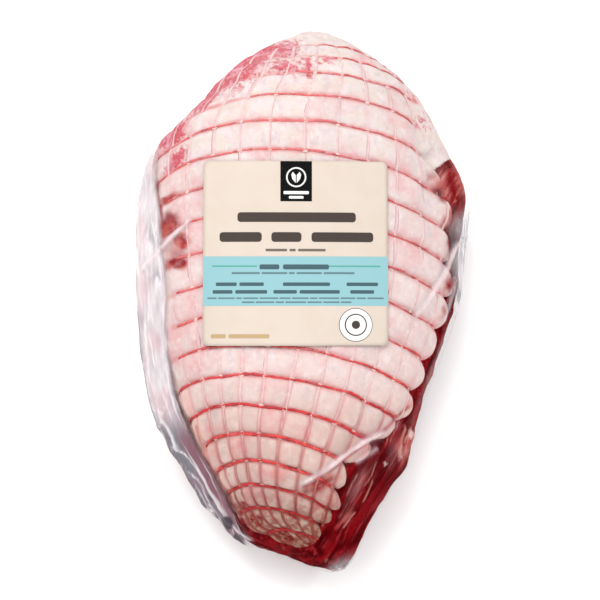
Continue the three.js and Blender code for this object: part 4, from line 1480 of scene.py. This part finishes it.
def film_material():
    n = Nodes("clear_shrink_film")
    fog, grey, crease, rosy, low = n.values("fog grey crease rosy low")
    dark, into, run, border, shank = n.values("dark into run border shank")
    ripple = n.noise(2.4, 3, 0.5, (1, 4, 2))
    bump = n.bump(n.math("ADD", n.noise(7, 3), n.times(ripple, 0.6)), 0.3, 0.8)
    pleats = n.pleats(into, run, 1.5, 44)
    wide_pleats = n.pleats(into, run, 3.6, 22, 7.0)
    tint = n.mix(n.times(rosy, 0.8), FOG_WHITE, FOG_ROSY)
    # Painted shade in the skirt's folds
    tint = n.patch(tint, FOLD_PAINTED_SHADE, wide_pleats, 0.55, 0.7, 0.55)
    # Painted highlights on the crests of the skirt's folds
    tint = n.patch(tint, FOLD_PAINTED_HIGHLIGHT, pleats, 0.56, 0.66, 0.8)
    flap = n.patch(FLAP_GREY, FLAP_VIOLET, wide_pleats, 0.42, 0.6)
    flap = n.mix(border, flap, FLAP_ROSY)
    # Painted highlights on the flap's folds
    flap = n.patch(flap, FLAP_PAINTED_HIGHLIGHT, pleats, 0.57, 0.66, 0.6)
    tint = n.mix(low, n.mix(shank, tint, FOG_MAGENTA), flap)
    # Grey film with painted highlights on its ripples
    tint = n.mix(grey, tint, n.patch(FLAP_GREY, FOLD_PAINTED_HIGHLIGHT, ripple, 0.5, 0.68))
    # Creases: partly the film's milky fold, partly a painted highlight along it
    tint = n.patch(tint, n.mix(low, CREASE_HAZE_AND_GLINT_PINK, FLAP_PAINTED_HIGHLIGHT), crease, 0.1, 0.7)
    tint = n.patch(tint, BUBBLE, dark, 0.25, 0.6)
    veil = n.times(fog, n.ramp(ripple, 0.3, 0.7, 0.85, 1.05))
    body = n.principled(Base_Color=tint, Roughness=0.3, Normal=bump,
                        Specular_IOR_Level=n.ramp(low, 0.0, 1.0, 0.3, 0.03))
    clear = n.new("ShaderNodeBsdfTransparent")
    gloss = n.new("ShaderNodeBsdfGlossy")
    gloss.inputs["Roughness"].default_value = 0.1
    n.put(gloss.inputs["Normal"], bump)
    fresnel = n.new("ShaderNodeFresnel")
    fresnel.inputs["IOR"].default_value = 1.3
    n.put(fresnel.inputs["Normal"], bump)
    shine = n.times(fresnel.outputs[0], FILM_GLOSS)
    shiny = n.blend(shine, clear.outputs[0], gloss.outputs[0])
    return n.finish(n.blend(veil, shiny, body))


PAPER = (0.505, 0.433, 0.373)
PAPER_SHADE = (0.495, 0.42, 0.352)
PAPER_SPECK = (0.47, 0.39, 0.31)
WORN_INK = (0.4, 0.37, 0.34)


def paper_material():
    n = Nodes("cream_paper")
    colour = n.patch(PAPER, PAPER_SHADE, n.noise(9, 4), 0.35, 0.65)
    colour = n.patch(colour, PAPER_SPECK, n.noise(1.3), 0.62, 0.78, 0.35)
    return n.surface(colour, (n.noise(3), 0.5, 0.6), 0.15, Normal=n.bump(n.noise(0.8), 0.15, 0.1))


def ink_material():
    n = Nodes("printing_ink")
    colour = n.patch(n.attribute("ink")["Color"], WORN_INK, n.noise(1.2, 3), 0.62, 0.8, 0.06)
    return n.surface(colour, (n.noise(4), 0.45, 0.55), 0.05)


# The picture
def make_camera():
    data = bpy.data.cameras.new("camera")
    data.sensor_width = SENSOR
    data.lens = SENSOR * VIEW_DISTANCE / VIEW_WIDTH
    data.clip_end = 20
    camera = link("camera", data)
    back = np.array([0, -math.cos(VIEW_ELEVATION), math.sin(VIEW_ELEVATION)])
    camera.location = (np.array([VIEW_X, 0, MIDDLE_HEIGHT]) + back * VIEW_DISTANCE + SHIFT) * MM
    camera.rotation_euler = (math.pi / 2 - VIEW_ELEVATION, 0, 0)
    bpy.context.scene.camera = camera


def make_floor():
    reach = 3.0
    mesh = bpy.data.meshes.new("floor")
    corners = [(-reach, -reach, 0), (reach, -reach, 0), (reach, reach, 0), (-reach, reach, 0)]
    mesh.from_pydata(corners, [], [(0, 1, 2, 3)])
    floor = link("floor", mesh)
    n = Nodes("pale_floor")
    mesh.materials.append(n.finish(n.principled(Base_Color=(0.97, 0.97, 0.97), Roughness=0.7)))


def area_light(name, place, size, power):
    data = bpy.data.lights.new(name, "AREA")
    data.shape = "SQUARE"
    data.size = size
    data.energy = power
    light = link(name, data)
    light.location = place
    light.rotation_mode = "QUATERNION"
    light.rotation_quaternion = (-Vector(place)).to_track_quat("-Z", "Y")


def make_lights():
    world = bpy.data.worlds.new("studio")
    world.use_nodes = True
    background = world.node_tree.nodes["Background"]
    background.inputs["Color"].default_value = (1, 1, 1, 1)
    background.inputs["Strength"].default_value = 1.15
    bpy.context.scene.world = world
    area_light("key_light", (-0.3, 0.45, 1.2), 0.7, 10)
    area_light("fill_light", (0.4, -0.9, 1.0), 0.9, 2.5)
    area_light("small_light", (0.8, 0.1, 0.9), 0.14, 1.5)
    bpy.context.scene.view_settings.view_transform = "Standard"


make_camera()
dressed = ((make_meat, meat_material), (make_hoops, hoop_material), (make_strands, strand_material),
           (make_film, film_material), (make_label, paper_material), (make_print, ink_material))
for make_piece, make_material in dressed:
    make_piece().data.materials.append(make_material())
make_floor()
make_lights()
